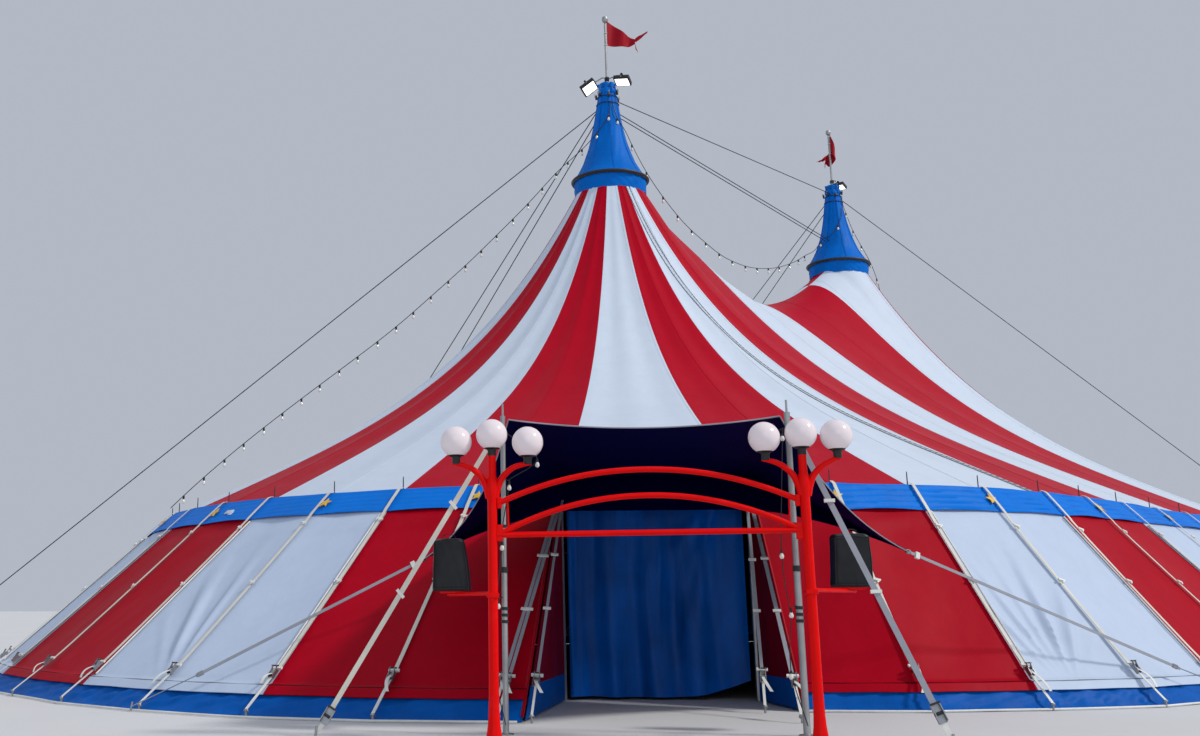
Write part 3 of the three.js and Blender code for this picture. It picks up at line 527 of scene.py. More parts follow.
    def lathe(self, prof, c=(0, 0, 0), axis=(0, 0, 1), n=24, mat=0, up=None):
        """prof = [(r, z)...]; ends on the axis are closed to a point."""
        c, A = np.asarray(c, float), np.asarray(axis, float)
        A = A / np.linalg.norm(A)
        u = np.array([1.0, 0, 0]) if abs(A[0]) < .9 else np.array([0, 1.0, 0])
        u = u - A * (u @ A)
        u /= np.linalg.norm(u)
        v = np.cross(A, u)
        w = np.linspace(0, 2 * math.pi, n, endpoint=False)[:, None]
        base = self.n
        idx = []
        for r, z in prof:
            if r < 1e-9:
                self.v.append((c + A * z)[None])
                idx.append([self.n])
                self.n += 1
            else:
                self.v.append(c + A * z + r * (np.cos(w) * u + np.sin(w) * v))
                idx.append(list(range(self.n, self.n + n)))
                self.n += n
        for a, b in zip(idx[:-1], idx[1:]):
            for j in range(n):
                k = (j + 1) % n
                if len(a) == 1 and len(b) == 1:
                    continue
                if len(a) == 1:
                    self.f.append((a[0], b[k], b[j]))
                elif len(b) == 1:
                    self.f.append((a[j], a[k], b[0]))
                else:
                    self.f.append((a[j], a[k], b[k], b[j]))
                self.m.append(mat)
        return self

    def ball(self, c, r, mat=0, n=24, m=14, squash=1.0):
        prof = [(r * math.sin(math.pi * i / m), -r * squash * math.cos(math.pi * i / m)) for i in range(m + 1)]
        return self.lathe(prof, c, n=n, mat=mat)

    def build(self, smooth=40, slot=None, solid=0.0, weld=False, recalc=True, subd=0):
        V = np.concatenate(self.v) * K
        me = bpy.data.meshes.new(self.name)
        me.from_pydata(V.tolist(), [], self.f)
        for m in self.mats:
            me.materials.append(M[m])
        me.polygons.foreach_set("material_index", self.m)
        me.update()
        o = bpy.data.objects.new(self.name, me)
        bpy.context.scene.collection.objects.link(o)
        if weld or recalc:
            bm = bmesh.new()
            bm.from_mesh(me)
            if weld:
                bmesh.ops.remove_doubles(bm, verts=bm.verts, dist=2e-5)
            if recalc:
                bmesh.ops.recalc_face_normals(bm, faces=bm.faces)
            bm.to_mesh(me)
            bm.free()
        if solid:
            md = o.modifiers.new("Solidify", "SOLIDIFY")
            md.thickness = solid * K
            md.offset = -1
            md.use_even_offset = False
            if slot:
                pass
            apply_mods(o)
        if smooth:
            me = o.data
            me.polygons.foreach_set("use_smooth", [True] * len(me.polygons))
            sharp(me, smooth)
        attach(o, "root")
        return o


def apply_mods(o):
    dg = bpy.context.evaluated_depsgraph_get()
    me = bpy.data.meshes.new_from_object(o.evaluated_get(dg))
    o.modifiers.clear()
    old = o.data
    o.data = me
    me.name = o.name
    bpy.data.meshes.remove(old)


def sharp(me, deg):
    """Marks edges sharper than deg."""
    bm = bmesh.new()
    bm.from_mesh(me)
    lim = math.radians(deg)
    for e in bm.edges:
        if len(e.link_faces) == 2:
            e.smooth = e.calc_face_angle(0) < lim
    bm.to_mesh(me)
    bm.free()


def area_of(V, F):
    """Surface of a polygon soup, model square metres."""
    V = np.concatenate(V) * K if isinstance(V, list) else V
    t = 0.0
    for f in F:
        a = V[f[0]]
        for i in range(1, len(f) - 1):
            t += np.linalg.norm(np.cross(V[f[i]] - a, V[f[i + 1]] - a)) / 2
    return t


def path_len(P):
    P = np.asarray(P)
    return float(np.linalg.norm(np.diff(P, axis=0), axis=1).sum())


def spline(pts, n=4):
    """Catmull-Rom through the points."""
    P = np.asarray(pts, float)
    Q = np.vstack([2 * P[0] - P[1], P, 2 * P[-1] - P[-2]])
    out = []
    for i in range(1, len(Q) - 2):
        for j in range(n):
            t = j / n
            a, b, c, d = Q[i - 1], Q[i], Q[i + 1], Q[i + 2]
            out.append(.5 * (2 * b + (c - a) * t + (2 * a - 5 * b + 4 * c - d) * t * t + (3 * b - a - 3 * c + d) * t ** 3))
    out.append(P[-1])
    return np.array(out)


# ------------------------------------------------------------------ camera
CAM = dict(p=(-32.92058503701486, -20.595223874368877, 1.5499821293111944), yaw=44.9588579863321, pitch=13.581326911370168, roll=-.16253779451136602, f=1260.090393546438, cx=459.73553088585084, cy=301.7745116615349)


def make_camera():
    y, p, r = (math.radians(CAM[k]) for k in ("yaw", "pitch", "roll"))
    fw = np.array([math.cos(y) * math.cos(p), math.sin(y) * math.cos(p), math.sin(p)])
    rt = np.array([math.sin(y), -math.cos(y), 0])
    up = np.cross(rt, fw)
    r2, u2 = rt * math.cos(r) + up * math.sin(r), -rt * math.sin(r) + up * math.cos(r)
    cam = bpy.data.cameras.new("camera")
    cam.sensor_fit = "HORIZONTAL"
    cam.sensor_width = 36
    cam.lens = CAM["f"] / 1200 * 36
    cam.shift_x = (600 - CAM["cx"]) / 1200
    cam.shift_y = (CAM["cy"] - 368) / 1200
    cam.clip_start, cam.clip_end = .05, 2000
    o = bpy.data.objects.new("camera", cam)
    m = Matrix.Identity(4)
    for i in range(3):
        m[i][0], m[i][1], m[i][2] = r2[i], u2[i], -fw[i]
        m[i][3] = CAM["p"][i] * K
    o.matrix_world = m
    bpy.context.scene.collection.objects.link(o)
    bpy.context.scene.camera = o
    return o


make_camera()

# ----------------------------------------------------------- light strings
CORD_R = .010
CORDS = {
    "light_string_west": [
        (-6.539, -0.269, 15.310), (-6.675, -0.254, 14.828), (-6.852, -0.046, 14.413), (-6.826, 0.371, 14.142),
        (-7.004, 0.682, 13.823), (-7.372, 0.748, 13.488), (-7.732, 0.803, 13.141), (-8.029, 0.953, 12.764),
        (-8.286, 1.157, 12.382), (-8.561, 1.351, 12.008), (-8.859, 1.524, 11.640), (-9.161, 1.694, 11.275),
        (-9.459, 1.872, 10.910), (-9.757, 2.056, 10.548), (-10.062, 2.243, 10.193), (-10.373, 2.430, 9.844),
        (-10.685, 2.618, 9.497), (-10.997, 2.806, 9.150), (-11.312, 2.996, 8.806), (-11.634, 3.191, 8.471),
        (-11.963, 3.389, 8.145), (-12.296, 3.591, 7.825), (-12.631, 3.793, 7.508), (-12.966, 3.996, 7.192),
        (-13.302, 4.198, 6.876), (-13.636, 4.400, 6.558), (-13.969, 4.601, 6.238), (-14.300, 4.801, 5.915),
        (-14.627, 4.999, 5.588), (-14.951, 5.195, 5.255), (-15.270, 5.387, 4.917), (-15.584, 5.577, 4.572),
        (-15.892, 5.763, 4.220), (-16.194, 5.945, 3.860)],
    "light_string_ridge": [
        (-6.500, -0.305, 15.213), (-6.464, -0.402, 14.807), (-6.208, -0.472, 14.464), (-5.976, -0.511, 14.099),
        (-5.865, -0.645, 13.700), (-5.791, -0.811, 13.303), (-5.585, -0.921, 12.941), (-5.215, -0.897, 12.717),
        (-4.812, -0.823, 12.566), (-4.408, -0.760, 12.412), (-4.000, -0.706, 12.267), (-3.583, -0.645, 12.152),
        (-3.160, -0.583, 12.062), (-2.735, -0.521, 11.985), (-2.309, -0.459, 11.912), (-1.882, -0.397, 11.845),
        (-1.452, -0.335, 11.799), (-1.020, -0.272, 11.782), (-0.588, -0.209, 11.787), (-0.156, -0.147, 11.805),
        (0.275, -0.084, 11.838), (0.704, -0.022, 11.891), (1.130, 0.040, 11.962), (1.555, 0.101, 12.046),
        (1.977, 0.162, 12.138), (2.397, 0.224, 12.241), (2.813, 0.288, 12.358), (3.225, 0.348, 12.488),
        (3.635, 0.398, 12.631), (4.042, 0.443, 12.784), (4.443, 0.507, 12.944), (4.838, 0.601, 13.104),
        (5.229, 0.710, 13.265), (5.623, 0.788, 13.436), (5.802, 0.553, 13.588), (5.663, 0.166, 13.870),
        (5.753, -0.144, 14.002), (5.941, -0.315, 14.355), (6.143, -0.381, 14.735), (6.262, -0.347, 15.050)],
    "light_string_east": [
        (6.300, -0.340, 15.300), (6.467, -0.414, 14.751), (6.599, -0.535, 14.201), (6.769, -0.704, 13.675),
        (7.030, -0.828, 13.174), (7.370, -0.841, 12.708), (7.744, -0.764, 12.273), (8.124, -0.652, 11.851),
        (8.503, -0.537, 11.429), (8.890, -0.423, 11.014), (9.288, -0.310, 10.610), (9.698, -0.197, 10.216),
        (10.114, -0.084, 9.830), (10.532, 0.032, 9.447), (10.953, 0.147, 9.067), (11.379, 0.262, 8.692),
        (11.810, 0.373, 8.322), (12.248, 0.481, 7.959), (12.689, 0.586, 7.600), (13.133, 0.691, 7.244),
        (13.580, 0.796, 6.890), (14.028, 0.898, 6.539), (14.479, 0.996, 6.190), (14.934, 1.089, 5.844),
        (15.391, 1.180, 5.501), (15.852, 1.271, 5.163), (16.316, 1.363, 4.829), (16.784, 1.457, 4.501),
        (17.255, 1.549, 4.178), (17.730, 1.640, 3.860)],
}
for name, pts in CORDS.items():
    P = spline(pts, 3)
    cord = Mesh(name + "_cord", "black").tube(P, CORD_R, 8).build(smooth=60, slot="cord_black")
    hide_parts(name)
    bulbs = Mesh(name.replace("string", "bulbs"), "black", "bulb")
    L = np.concatenate([[0], np.cumsum(np.linalg.norm(np.diff(P, axis=0), axis=1))])
    d, gap = .45, (.93 if "ridge" in name else .64)
    while d < L[-1] - .25:
        q = np.array([np.interp(d, L, P[:, i]) for i in range(3)])
        j = min(int(np.searchsorted(L, d)), len(P) - 1)
        tdir = P[j] - P[j - 1]
        tdir /= np.linalg.norm(tdir)
        # each lamp hangs straight down, set off a little from the cord
        bulbs.lathe([(0, .016), (.022, .014), (.026, 0), (.026, -.06), (.021, -.074), (0, -.076)], q + np.array([0, 0, -.008]), n=8)
        bulbs.lathe([(0, -.070), (.017, -.072), (.022, -.088), (.036, -.118), (.040, -.14), (.029, -.168), (0, -.18)], q + np.array([0, 0, -.008]), n=10, mat=1)
        d += gap + .03 * rng.standard_normal()
    b = bulbs.build(smooth=50)

# ------------------------------------------------------------- roof canopy
S_COLS = []
for i in range(56):
    n = 8
    for j in range(n):
        S_COLS.append(i + j / n)
extra = RC / (2 * HALF / 6)
S_COLS += [22 + extra, 28 - extra, 50 + extra, 56 - extra]
S_COLS = sorted(S_COLS)
ROWS = [t ** 1.25 for t in np.linspace(0, 1, 44)]


def build_canopy():
    P = np.array([[canopy_pt(s, f)[0] for s in S_COLS] for f in ROWS])
    mats = [[0 if red_bay(s + 1e-4) else 1 for s in S_COLS]] * (len(ROWS) - 1)
    g = Mesh("canopy_cloth", "red", "white").grid(P, closed=True, mats=mats, flip=True)
    a = area_of(g.v, g.f)
    o = g.build(weld=True, recalc=True, slot="canopy", solid=.014, smooth=50)
    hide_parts(*["canopy_" + n for n in ("entrance", "west_front", "west_back", "front", "east_front", "east_end", "east_back", "back")])
    return o, a


canopy, canopy_area = build_canopy()

# seams, hems, ropes on the roof
seams = Mesh("canopy_seams", "red", "white", "lace")
fs = [t ** 1.25 for t in np.linspace(.004, .998, 60)]
for i in range(56):
    if i == 16:
        continue
    edge = i % 2 == 1
    for ds, wdt, mat in ([(.028, .05, 1)] if edge else [(0, .03, 1 if not red_bay(i) else 0)]):
        # the strip lies on the white side of a stripe's edge
        side = 1 if not red_bay(i + .3) else -1
        pts, sd, nn = [], [], []
        for f in fs:
            r = RC + (R - RC) * f
            s = i + (side * ds / (r * STEP / 2) if edge else 0)
            p, n = canopy_pt(s, f, .002)
            q, _ = canopy_pt(s + .01, f, .002)
            d = q - p
            d /= np.linalg.norm(d)
            pts.append(p), sd.append(d), nn.append(n)
        seams.ribbon(pts, sd, nn, wdt, .004, mat)
canopy_seams = seams.build(smooth=50)

# laced joint that crosses the white stripe beside the entrance, from its
# left edge at the collar to its right edge at the eave
lace = Mesh("canopy_lacing", "lace", "rope")
NL = 120
for side in (-1, 1):
    pts = []
    for t in np.linspace(0, 1, NL):
        f = .004 + .99 * t ** 1.2
        r = RC + (R - RC) * f
        k = 1.60 + .86 * (1 - (1 - t) ** 1.7)
        s = (k + 8) * 2 + side * (.055 / (r * STEP / 2))
        pts.append(canopy_pt(s, f, .010)[0])
    lace.tube(pts, .008, 6, 0)
for j in range(1, 110):
    t = j / 110
    f = .004 + .99 * t ** 1.2
    r = RC + (R - RC) * f
    k = 1.60 + .86 * (1 - (1 - t) ** 1.7)
    w = .055 / (r * STEP / 2)
    a = canopy_pt((k + 8) * 2 - w, f, .014)[0]
    b = canopy_pt((k + 8) * 2 + w, f + .004, .014)[0]
    lace.tube([a, (a + b) / 2 + (0, 0, .003), b], .004, 4, 1)
canopy_lacing = lace.build(smooth=60)

# hem along the eave: red cloth roll or white rope
hem = Mesh("eave_hem", "hem_red", "rope")
for b0 in range(56):
    s0 = np.linspace(b0, b0 + 1, 7)
    pts = [canopy_pt(s, 1.0)[0] + np.array([0, 0, -.012]) for s in s0]
    hem.tube(pts, .028 if red_bay(b0 + .5) else .018, 7, 0 if red_bay(b0 + .5) else 1)
eave_hem = hem.build(smooth=50)

# ---------------------------------------------------------- walls, by segment
SECTIONS = [("entrance", 17, 22), ("front", 22, 28), ("east_front", 28, 35), ("east_end", 35, 43), ("east_back", 43, 50), ("back", 50, 56), ("west_back", 0, 7), ("west_front", 7, 15)]
V_FOLD, V_SKIRT = .893, .927          # hem fold and top of the blue skirt, as parts of the slope
# which bays hang in folds: (bay, where on the foot the folds fan from, strength)
FAN = {11: (1.0, .085), 19: (.35, .090), 13: (.8, .010), 8: (.7, .016), 20: (.5, .010), 24: (.4, .014), 26: (.6, .01), 12: (.1, .010)}
for _b in range(28, 56):
    FAN.setdefault(_b, (float(rng.uniform(0, 1)), float(rng.uniform(.006, .022))))
for _b in range(0, 11):
    FAN.setdefault(_b, (float(rng.uniform(0, 1)), float(rng.uniform(.006, .016))))


def fold(s, v):
    """How far the wall cloth stands off its plane."""
    b = int(math.floor(s + 1e-9)) % 56
    u = s - math.floor(s + 1e-9)
    edge = math.sin(math.pi * min(max(u, 0), 1))
    d = -.040 * edge * math.sin(math.pi * min(v / V_SKIRT, 1)) ** .7
    u0, amp = FAN.get(b, (.5, .006))
    # pleats fan out from a point on the foot of the bay
    ax, ay = (u - u0) * 2.15, (V_SKIRT - v) * slope(s)[0]
    th = math.atan2(ax, ay + .15)
    win = edge ** .7 * math.exp(-((v - .66) / .27) ** 2) * math.exp(-((abs(th) - .36) / .3) ** 2)
    # the pleats die away where they run together
    win *= min(1.0, math.hypot(ax, ay) / 1.15) ** 1.5
    w = math.sin(th * 26 + 1.3 * b + 1.0 * math.sin(th * 6))
    d += amp * (w * .6 + .4 * abs(w)) * win
    # level pulls under the valance and long soft waves
    d += .006 * math.sin(7.3 * u + 2.1 * v * 5 + b * 1.7) * edge
    d += .010 * edge * math.sin(40 * v + 3 * u + b) * math.exp(-((v - .16) / .07) ** 2)
    return d


walls = {}
for name, s0, s1 in SECTIONS:
    cols = []
    for b0 in range(s0, s1):
        m = 48 if b0 in (11, 19) else 14
        cols += [b0 + i / m for i in range(m)]
    cols.append(s1)
    fine = 84 if name in ("entrance", "west_front") else 40
    rows = [.02] + list(np.linspace(.05, V_FOLD, fine)) + [V_FOLD + .006, V_FOLD + .010, V_SKIRT + .004]
    P = []
    for v in rows:
        line = []
        for s in cols:
            off = .012 + max(fold(s, v), -.05)
            if v > V_FOLD + .001:
                off = .052 if v < V_SKIRT else .046
                off += .004 * math.sin(s * 9)
            if abs(v - V_FOLD) < .001:
                off += .030
            e = .002 if s == cols[0] else (-.002 if s == cols[-1] else 0)
            line.append(wall_pt(s, v * slope(s)[0], off + .014, e))
        P.append(line)
    # the groove above the hem is painted darker as a painted shadow of the fold, in two tones: dark red on red bays,
    # grey on white bays
    mats = [[(0 if red_bay(s + 1e-4) else 1) + (2 if j == fine else 0) for s in cols[:-1]] for j in range(len(rows) - 1)]
    g = Mesh("wall_cloth_" + name, "wall_red", "wall_white", "groove_shade_red", "groove_shade_grey").grid(P, mats=mats, flip=True)
    a = area_of(g.v, g.f)
    o = g.build(slot="wall" if name.startswith(("west", "east")) else "wall_w", solid=.012, smooth=45)
    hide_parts("wall_" + name)
    walls[name] = (o, a, (max(path_len(q) for q in P) * K, max(path_len([q[i] for q in P]) for i in range(0, len(cols), 7)) * K * 1.01))

    # blue skirt under it, a little crumpled, its edge on the ground
    drop = [(-.10, .004), (-.02, .006), (.05, .014), (.11, .020), (.17, .022), (.23, .020), (.29, .016)]
    P = []
    for j, (da, base) in enumerate(drop):
        line = []
        for s in cols:
            l = slope(s)[0]
            wv = .012 * math.sin(s * 17.0 + 2 * j) + .009 * math.sin(s * 41 + j) + .008 * math.sin(s * 7.1)
            a = V_SKIRT * l + da / .39 * (l - V_SKIRT * l)
            off = base + (wv if j > 1 else 0) + .008
            e = .003 if s == cols[0] else (-.003 if s == cols[-1] else 0)
            p = wall_pt(s, a, off, e)
            p[2] = max(p[2], .016)
            line.append(p)
        P.append(line)
    last = []
    for s in cols:
        cx, c, sn = stn(s)
        rr = foot_r(s) + .06 + .02 * math.sin(s * 13)
        last.append(np.array([cx + rr * c, rr * sn, .014]))
    P.append(last)
    g = Mesh("skirt_" + name, "skirt").grid(P, flip=True)
    a = area_of(g.v, g.f)
    o = g.build(slot="wall", solid=.01, smooth=45)
    walls["skirt_" + name] = (o, a, (max(path_len(q) for q in P) * K, max(path_len([q[i] for q in P]) for i in range(0, len(cols), 7)) * K * 1.02))

    # blue valance below the eave, drawn taut in level creases
    cols = [s0 + (s1 - s0) * i / ((s1 - s0) * 12) for i in range((s1 - s0) * 12 + 1)]
    deep = .66 if name.startswith("west") else .58
    rows3 = np.linspace(-.02, deep, 19)
    P = []
    for a in rows3:
        line = []
        for s in cols:
            b = int(math.floor(s + 1e-9))
            u = s - math.floor(s + 1e-9)
            ed = math.sin(math.pi * u)
            rightside = 1.0 if 17 <= s <= 28 else .35
            cr = .011 * rightside * math.sin(a * 46 + 1.5 * math.sin(u * 3 + b) + b) * (.35 + .65 * ed)
            cr += .006 * math.sin(a * 90 + 4 * u + b * 2) * rightside
            sag = .03 * ed * (a / deep)
            e = .002 if s == cols[0] else (-.002 if s == cols[-1] else 0)
            line.append(wall_pt(s, a * (1 - .05 * ed), .052 + cr + sag * .3, e))
        P.append(line)
    g = Mesh("valance_" + name, "valance").grid(P, flip=True)
    a = area_of(g.v, g.f)
    o = g.build(slot="blue_cloth", solid=.008, smooth=45)
    walls["valance_" + name] = (o, a, (path_len(P[-1]) * K * 1.01, (deep + .02) * K * 1.04))

# short valance over the doorway
P = [[wall_pt(s, a, .05 + .006 * math.sin(a * 40 + s * 3)) for s in np.linspace(15, 17, 24)] for a in np.linspace(-.02, .5, 10)]
g = Mesh("valance_doorway", "valance").grid(P, flip=True)
a = area_of(g.v, g.f)
walls["valance_doorway"] = (g.build(slot="blue_cloth", solid=.008, smooth=45), a, (path_len(P[-1]) * K * 1.01, .52 * K * 1.02))

# white rope along the foot of the walls
foot = Mesh("foot_rope", "rope")
pts = []
for s in np.linspace(17.02, 70.98, 560):
    cx, c, sn = stn(s)
    rr = foot_r(s) + .13 + .03 * math.sin(s * 3.3) + (.22 * math.exp(-((s % 56 - 12.8) / 1.6) ** 2))
    pts.append((cx + rr * c, rr * sn, .022))
foot.tube(pts, .017, 6)
foot.build(smooth=60)

# --------------------------------------------------------- straps and pins
straps = Mesh("wall_straps", "web")
grey = Mesh("entrance_straps", "web_grey")
keep = Mesh("strap_keepers", "rope")
gear = Mesh("strap_ratchets", "ratchet", "dark")
stakes = Mesh("ground_stakes", "steel")
loops = Mesh("strap_loops", "rope")
pins = Mesh("pole_pins", "dark")
ropes = Mesh("wall_ropes", "rope", "lace")
stars = Mesh("valance_stars", "gold")


def ratchet(c, t3, d3, n3, wide=.062):
    gear.box(c, (t3, d3, n3), (.045, .085, .006))
    for w in (-1, 1):
        gear.box(c + t3 * .043 * w + n3 * .03, (t3, d3, n3), (.004, .075, .032))
        gear.box(c + t3 * .036 * w + n3 * .06 - d3 * .05, (t3, d3 * .9 - n3 * .3, n3), (.004, .07, .014))
    gear.tube([c - t3 * .05 + n3 * .035, c + t3 * .05 + n3 * .035], .016, 8, 0)
    gear.tube([c - t3 * .06 + n3 * .075 - d3 * .11, c + t3 * .06 + n3 * .075 - d3 * .11], .011, 8, 1)
    keep.box(c - d3 * .13 + n3 * .01, (t3, d3, n3), (.085, .02, .014))


def anchor(stake, t3, d3, n3, c, wide):
    """Loop from the ratchet at c to a hook on a stake."""
    hook = stake + UP * .11
    n = np.cross(t3, hook - c)
    n /= np.linalg.norm(n)
    loops.ribbon([c + d3 * .07 + n3 * .012, hook], [t3, t3], [n, n], wide * .8, .008)
    th = np.linspace(0, 2 * math.pi, 13)[:-1]
    ring = [hook + t3 * .035 * math.cos(q) + np.array([0, 0, -.03]) + (d3 * .4 + UP * .6) * .05 * math.sin(q) for q in th]
    gear.tube(ring, .008, 6, 0, closed=True)
    stakes.tube([stake, stake + UP * .1], .017, 8)
    stakes.lathe([(0, .112), (.03, .11), (.036, .1), (.034, .088), (0, .086)], stake, n=10)


def tail(c, t3, d3, n3, ln, sw):
    """The strap's loose end, hanging from the ratchet."""
    pts, sd, nn = [], [], []
    for j in range(9):
        q = j / 8
        p = c + n3 * (.045 + .10 * math.sin(q * 2.2)) + d3 * (.02 + ln * q * .75) + t3 * sw * q * q
        p[2] = max(p[2] - .05 * q, .03 + .01 * q)
        pts.append(p), sd.append(t3)
    P = np.array(pts)
    T = np.gradient(P, axis=0)
    for q in T:
        n = np.cross(t3, q)
        nn.append(-n / np.linalg.norm(n))
    loops.ribbon(pts, sd, nn, .05, .006)


def strap_at(i, target, side=0.0, width=.062):
    s = i
    t3 = tangent(s) if i not in (15, 17) else tangent(s + (.3 if i == 17 else -.3))
    n3, d3 = wall_n(s), wall_d(s)
    l = slope(s)[0]
    A = [-.06, .0, .05, .35, .68, .74, 1.2, 2.0, 3.0 * l / 5.2, 4.0 * l / 5.2, .85 * l]
    O = [.05, .085, .1, .1, .095, .085, .075, .07, .072, .078, .088]
    pts = [wall_pt(s, a, o, side) for a, o in zip(A, O)]
    target.ribbon(pts, [t3] * len(pts), [n3] * len(pts), width, .008)
    for a in (.95, .47 * l):
        keep.box(wall_pt(s, a, .095, side + .02), (t3 * .94 + d3 * .34, d3 * .94 - t3 * .34, n3), (.062, .020, .012))
        keep.box(wall_pt(s, a + .03, .100, side + .05), (t3 * .8 - d3 * .6, d3 * .8 + t3 * .6, n3), (.045, .014, .008))
    c = wall_pt(s, .865 * l, .1, side)
    ratchet(c, t3, d3, n3, width)
    cx, cc, sn = stn(s)
    m = math.hypot(cc, sn)
    ro = np.array([cc / m, sn / m, 0])
    stake = np.array([cx, 0, 0]) + ro * (foot_r(s) * m + .13) + t3 * side
    anchor(stake, t3, d3, n3, c, width)
    tail(c, t3, d3, n3, .30 + .18 * rng.random(), .25 * (rng.random() - .5))


def strap_free(top, bottom, target, width=.055):
    """A strap drawn straight through the air from top to a stake at bottom."""
    top, bottom = np.asarray(top), np.asarray(bottom)
    d3 = bottom + UP * .1 - top
    L = np.linalg.norm(d3)
    d3 /= L
    t3 = TV - d3 * (TV @ d3)
    t3 /= np.linalg.norm(t3)
    n3 = np.cross(t3, d3)
    if n3 @ EV < 0:
        n3 = -n3
    pts = [top + d3 * L * q for q in np.linspace(0, .86, 8)]
    target.ribbon(pts, [t3] * 8, [n3] * 8, width, .008)
    for q in (.30, .56):
        keep.box(top + d3 * L * q + n3 * .012, (t3, d3, n3), (.06, .02, .012))
    c = top + d3 * L * .875 + n3 * .01
    ratchet(c, t3, d3, n3, width)
    anchor(bottom, t3, d3, n3, c, width)
    tail(c, t3, d3, n3, .3, .1)


for i in range(56):
    if i == 16:
        continue
    ent = i in (15, 17)
    if not ent:
        strap_at(i, straps)
    # pole pin above the eave
    cx, c, sn = stn(i)
    l = math.hypot(c, sn)
    pr = R - .05
    base = np.array([cx + pr * c / l * l, pr * sn, ZE - .02])
    if not ent:
        pins.lathe([(0, .30), (.006, .3), (.009, .27), (.011, .06), (.018, .045), (.036, .04), (.036, .02), (0, .02)], base, n=10)
    # rope and dark lacing line beside the strap on stripe edges
    if i % 2 == 1 and not ent:
        sd = .085 if not red_bay(i + .3) else -.085
        A = [q * slope(i)[0] for q in (.134, .29, .48, .67, .82, .885)]
        ropes.tube([wall_pt(i, a, .060, sd) for a in A], .013, 6, 0)
        ropes.tube([wall_pt(i, a, .040, sd * .45) for a in A], .010, 5, 1)
    # a gold star in the middle of each stripe
    if i % 2 == 0:
        t3, n3, d3 = tangent(i), wall_n(i), wall_d(i)
        c0 = wall_pt(i, .35 if i < 16 else .31, .095, -.05 if i in (18, 20) else .11)
        V = []
        for q in range(10):
            rr = .14 if q % 2 == 0 else .058
            an = math.pi / 2 + q * math.pi / 5
            V.append(c0 + t3 * rr * math.cos(an) - d3 * rr * math.sin(an))
        V2 = [v - n3 * .012 for v in V]
        stars.add(V + V2 + [c0 + n3 * .008, c0 - n3 * .012],
                  [(q, (q + 1) % 10, 20) for q in range(10)] + [((q + 1) % 10 + 10, q + 10, 21) for q in range(10)]
                  + [(q, q + 10, (q + 1) % 10 + 10, (q + 1) % 10) for q in range(10)])
# a small repair patch stuck on the valance
mend = Mesh("valance_patch", "patch")
for (s_, a_, w_, h_) in ((10.36, .345, .13, .055), (10.43, .40, .06, .05)):
    mend.box(wall_pt(s_, a_, .068), (tangent(s_), wall_d(s_), wall_n(s_)), (w_, h_, .006), 0, bevel=.003)
mend.build(smooth=40)
# the doorway's own straps: two at each side
strap_free(wall_pt(15, .55, .08, .03), door(15.56, -2.62, 0), grey, .05)
strap_free(wall_pt(15, .55, .08, .09), door(15.56, -2.55, 0), grey, .05)
strap_free(wall_pt(15, .55, .11, .12), door(15.55, -2.09, 0), grey, .042)
strap_free(door(11.66, 1.54, 3.2), door(13.72, 1.33, 0), grey, .05)
strap_free(door(11.74, 1.60, 3.2), door(15.37, 1.56, 0), grey, .06)
# rolled red hems down the walls' edges at the doorway
hems = Mesh("doorway_hems", "hem_red")
for i, q in ((15, -.012), (17, .012)):
    l = slope(i)[0]
    hems.tube([wall_pt(i, a, .022, q) for a in np.linspace(.1, l * .985, 14)], .026, 8)
hems.build(smooth=60)
straps.build(smooth=0, slot="webbing")
grey.build(smooth=0, slot="webbing")
keep.build(smooth=0)
gear.build(smooth=40)
loops.build(smooth=0)
pins.build(smooth=40)
ropes.build(smooth=60)
stars.build(smooth=0)

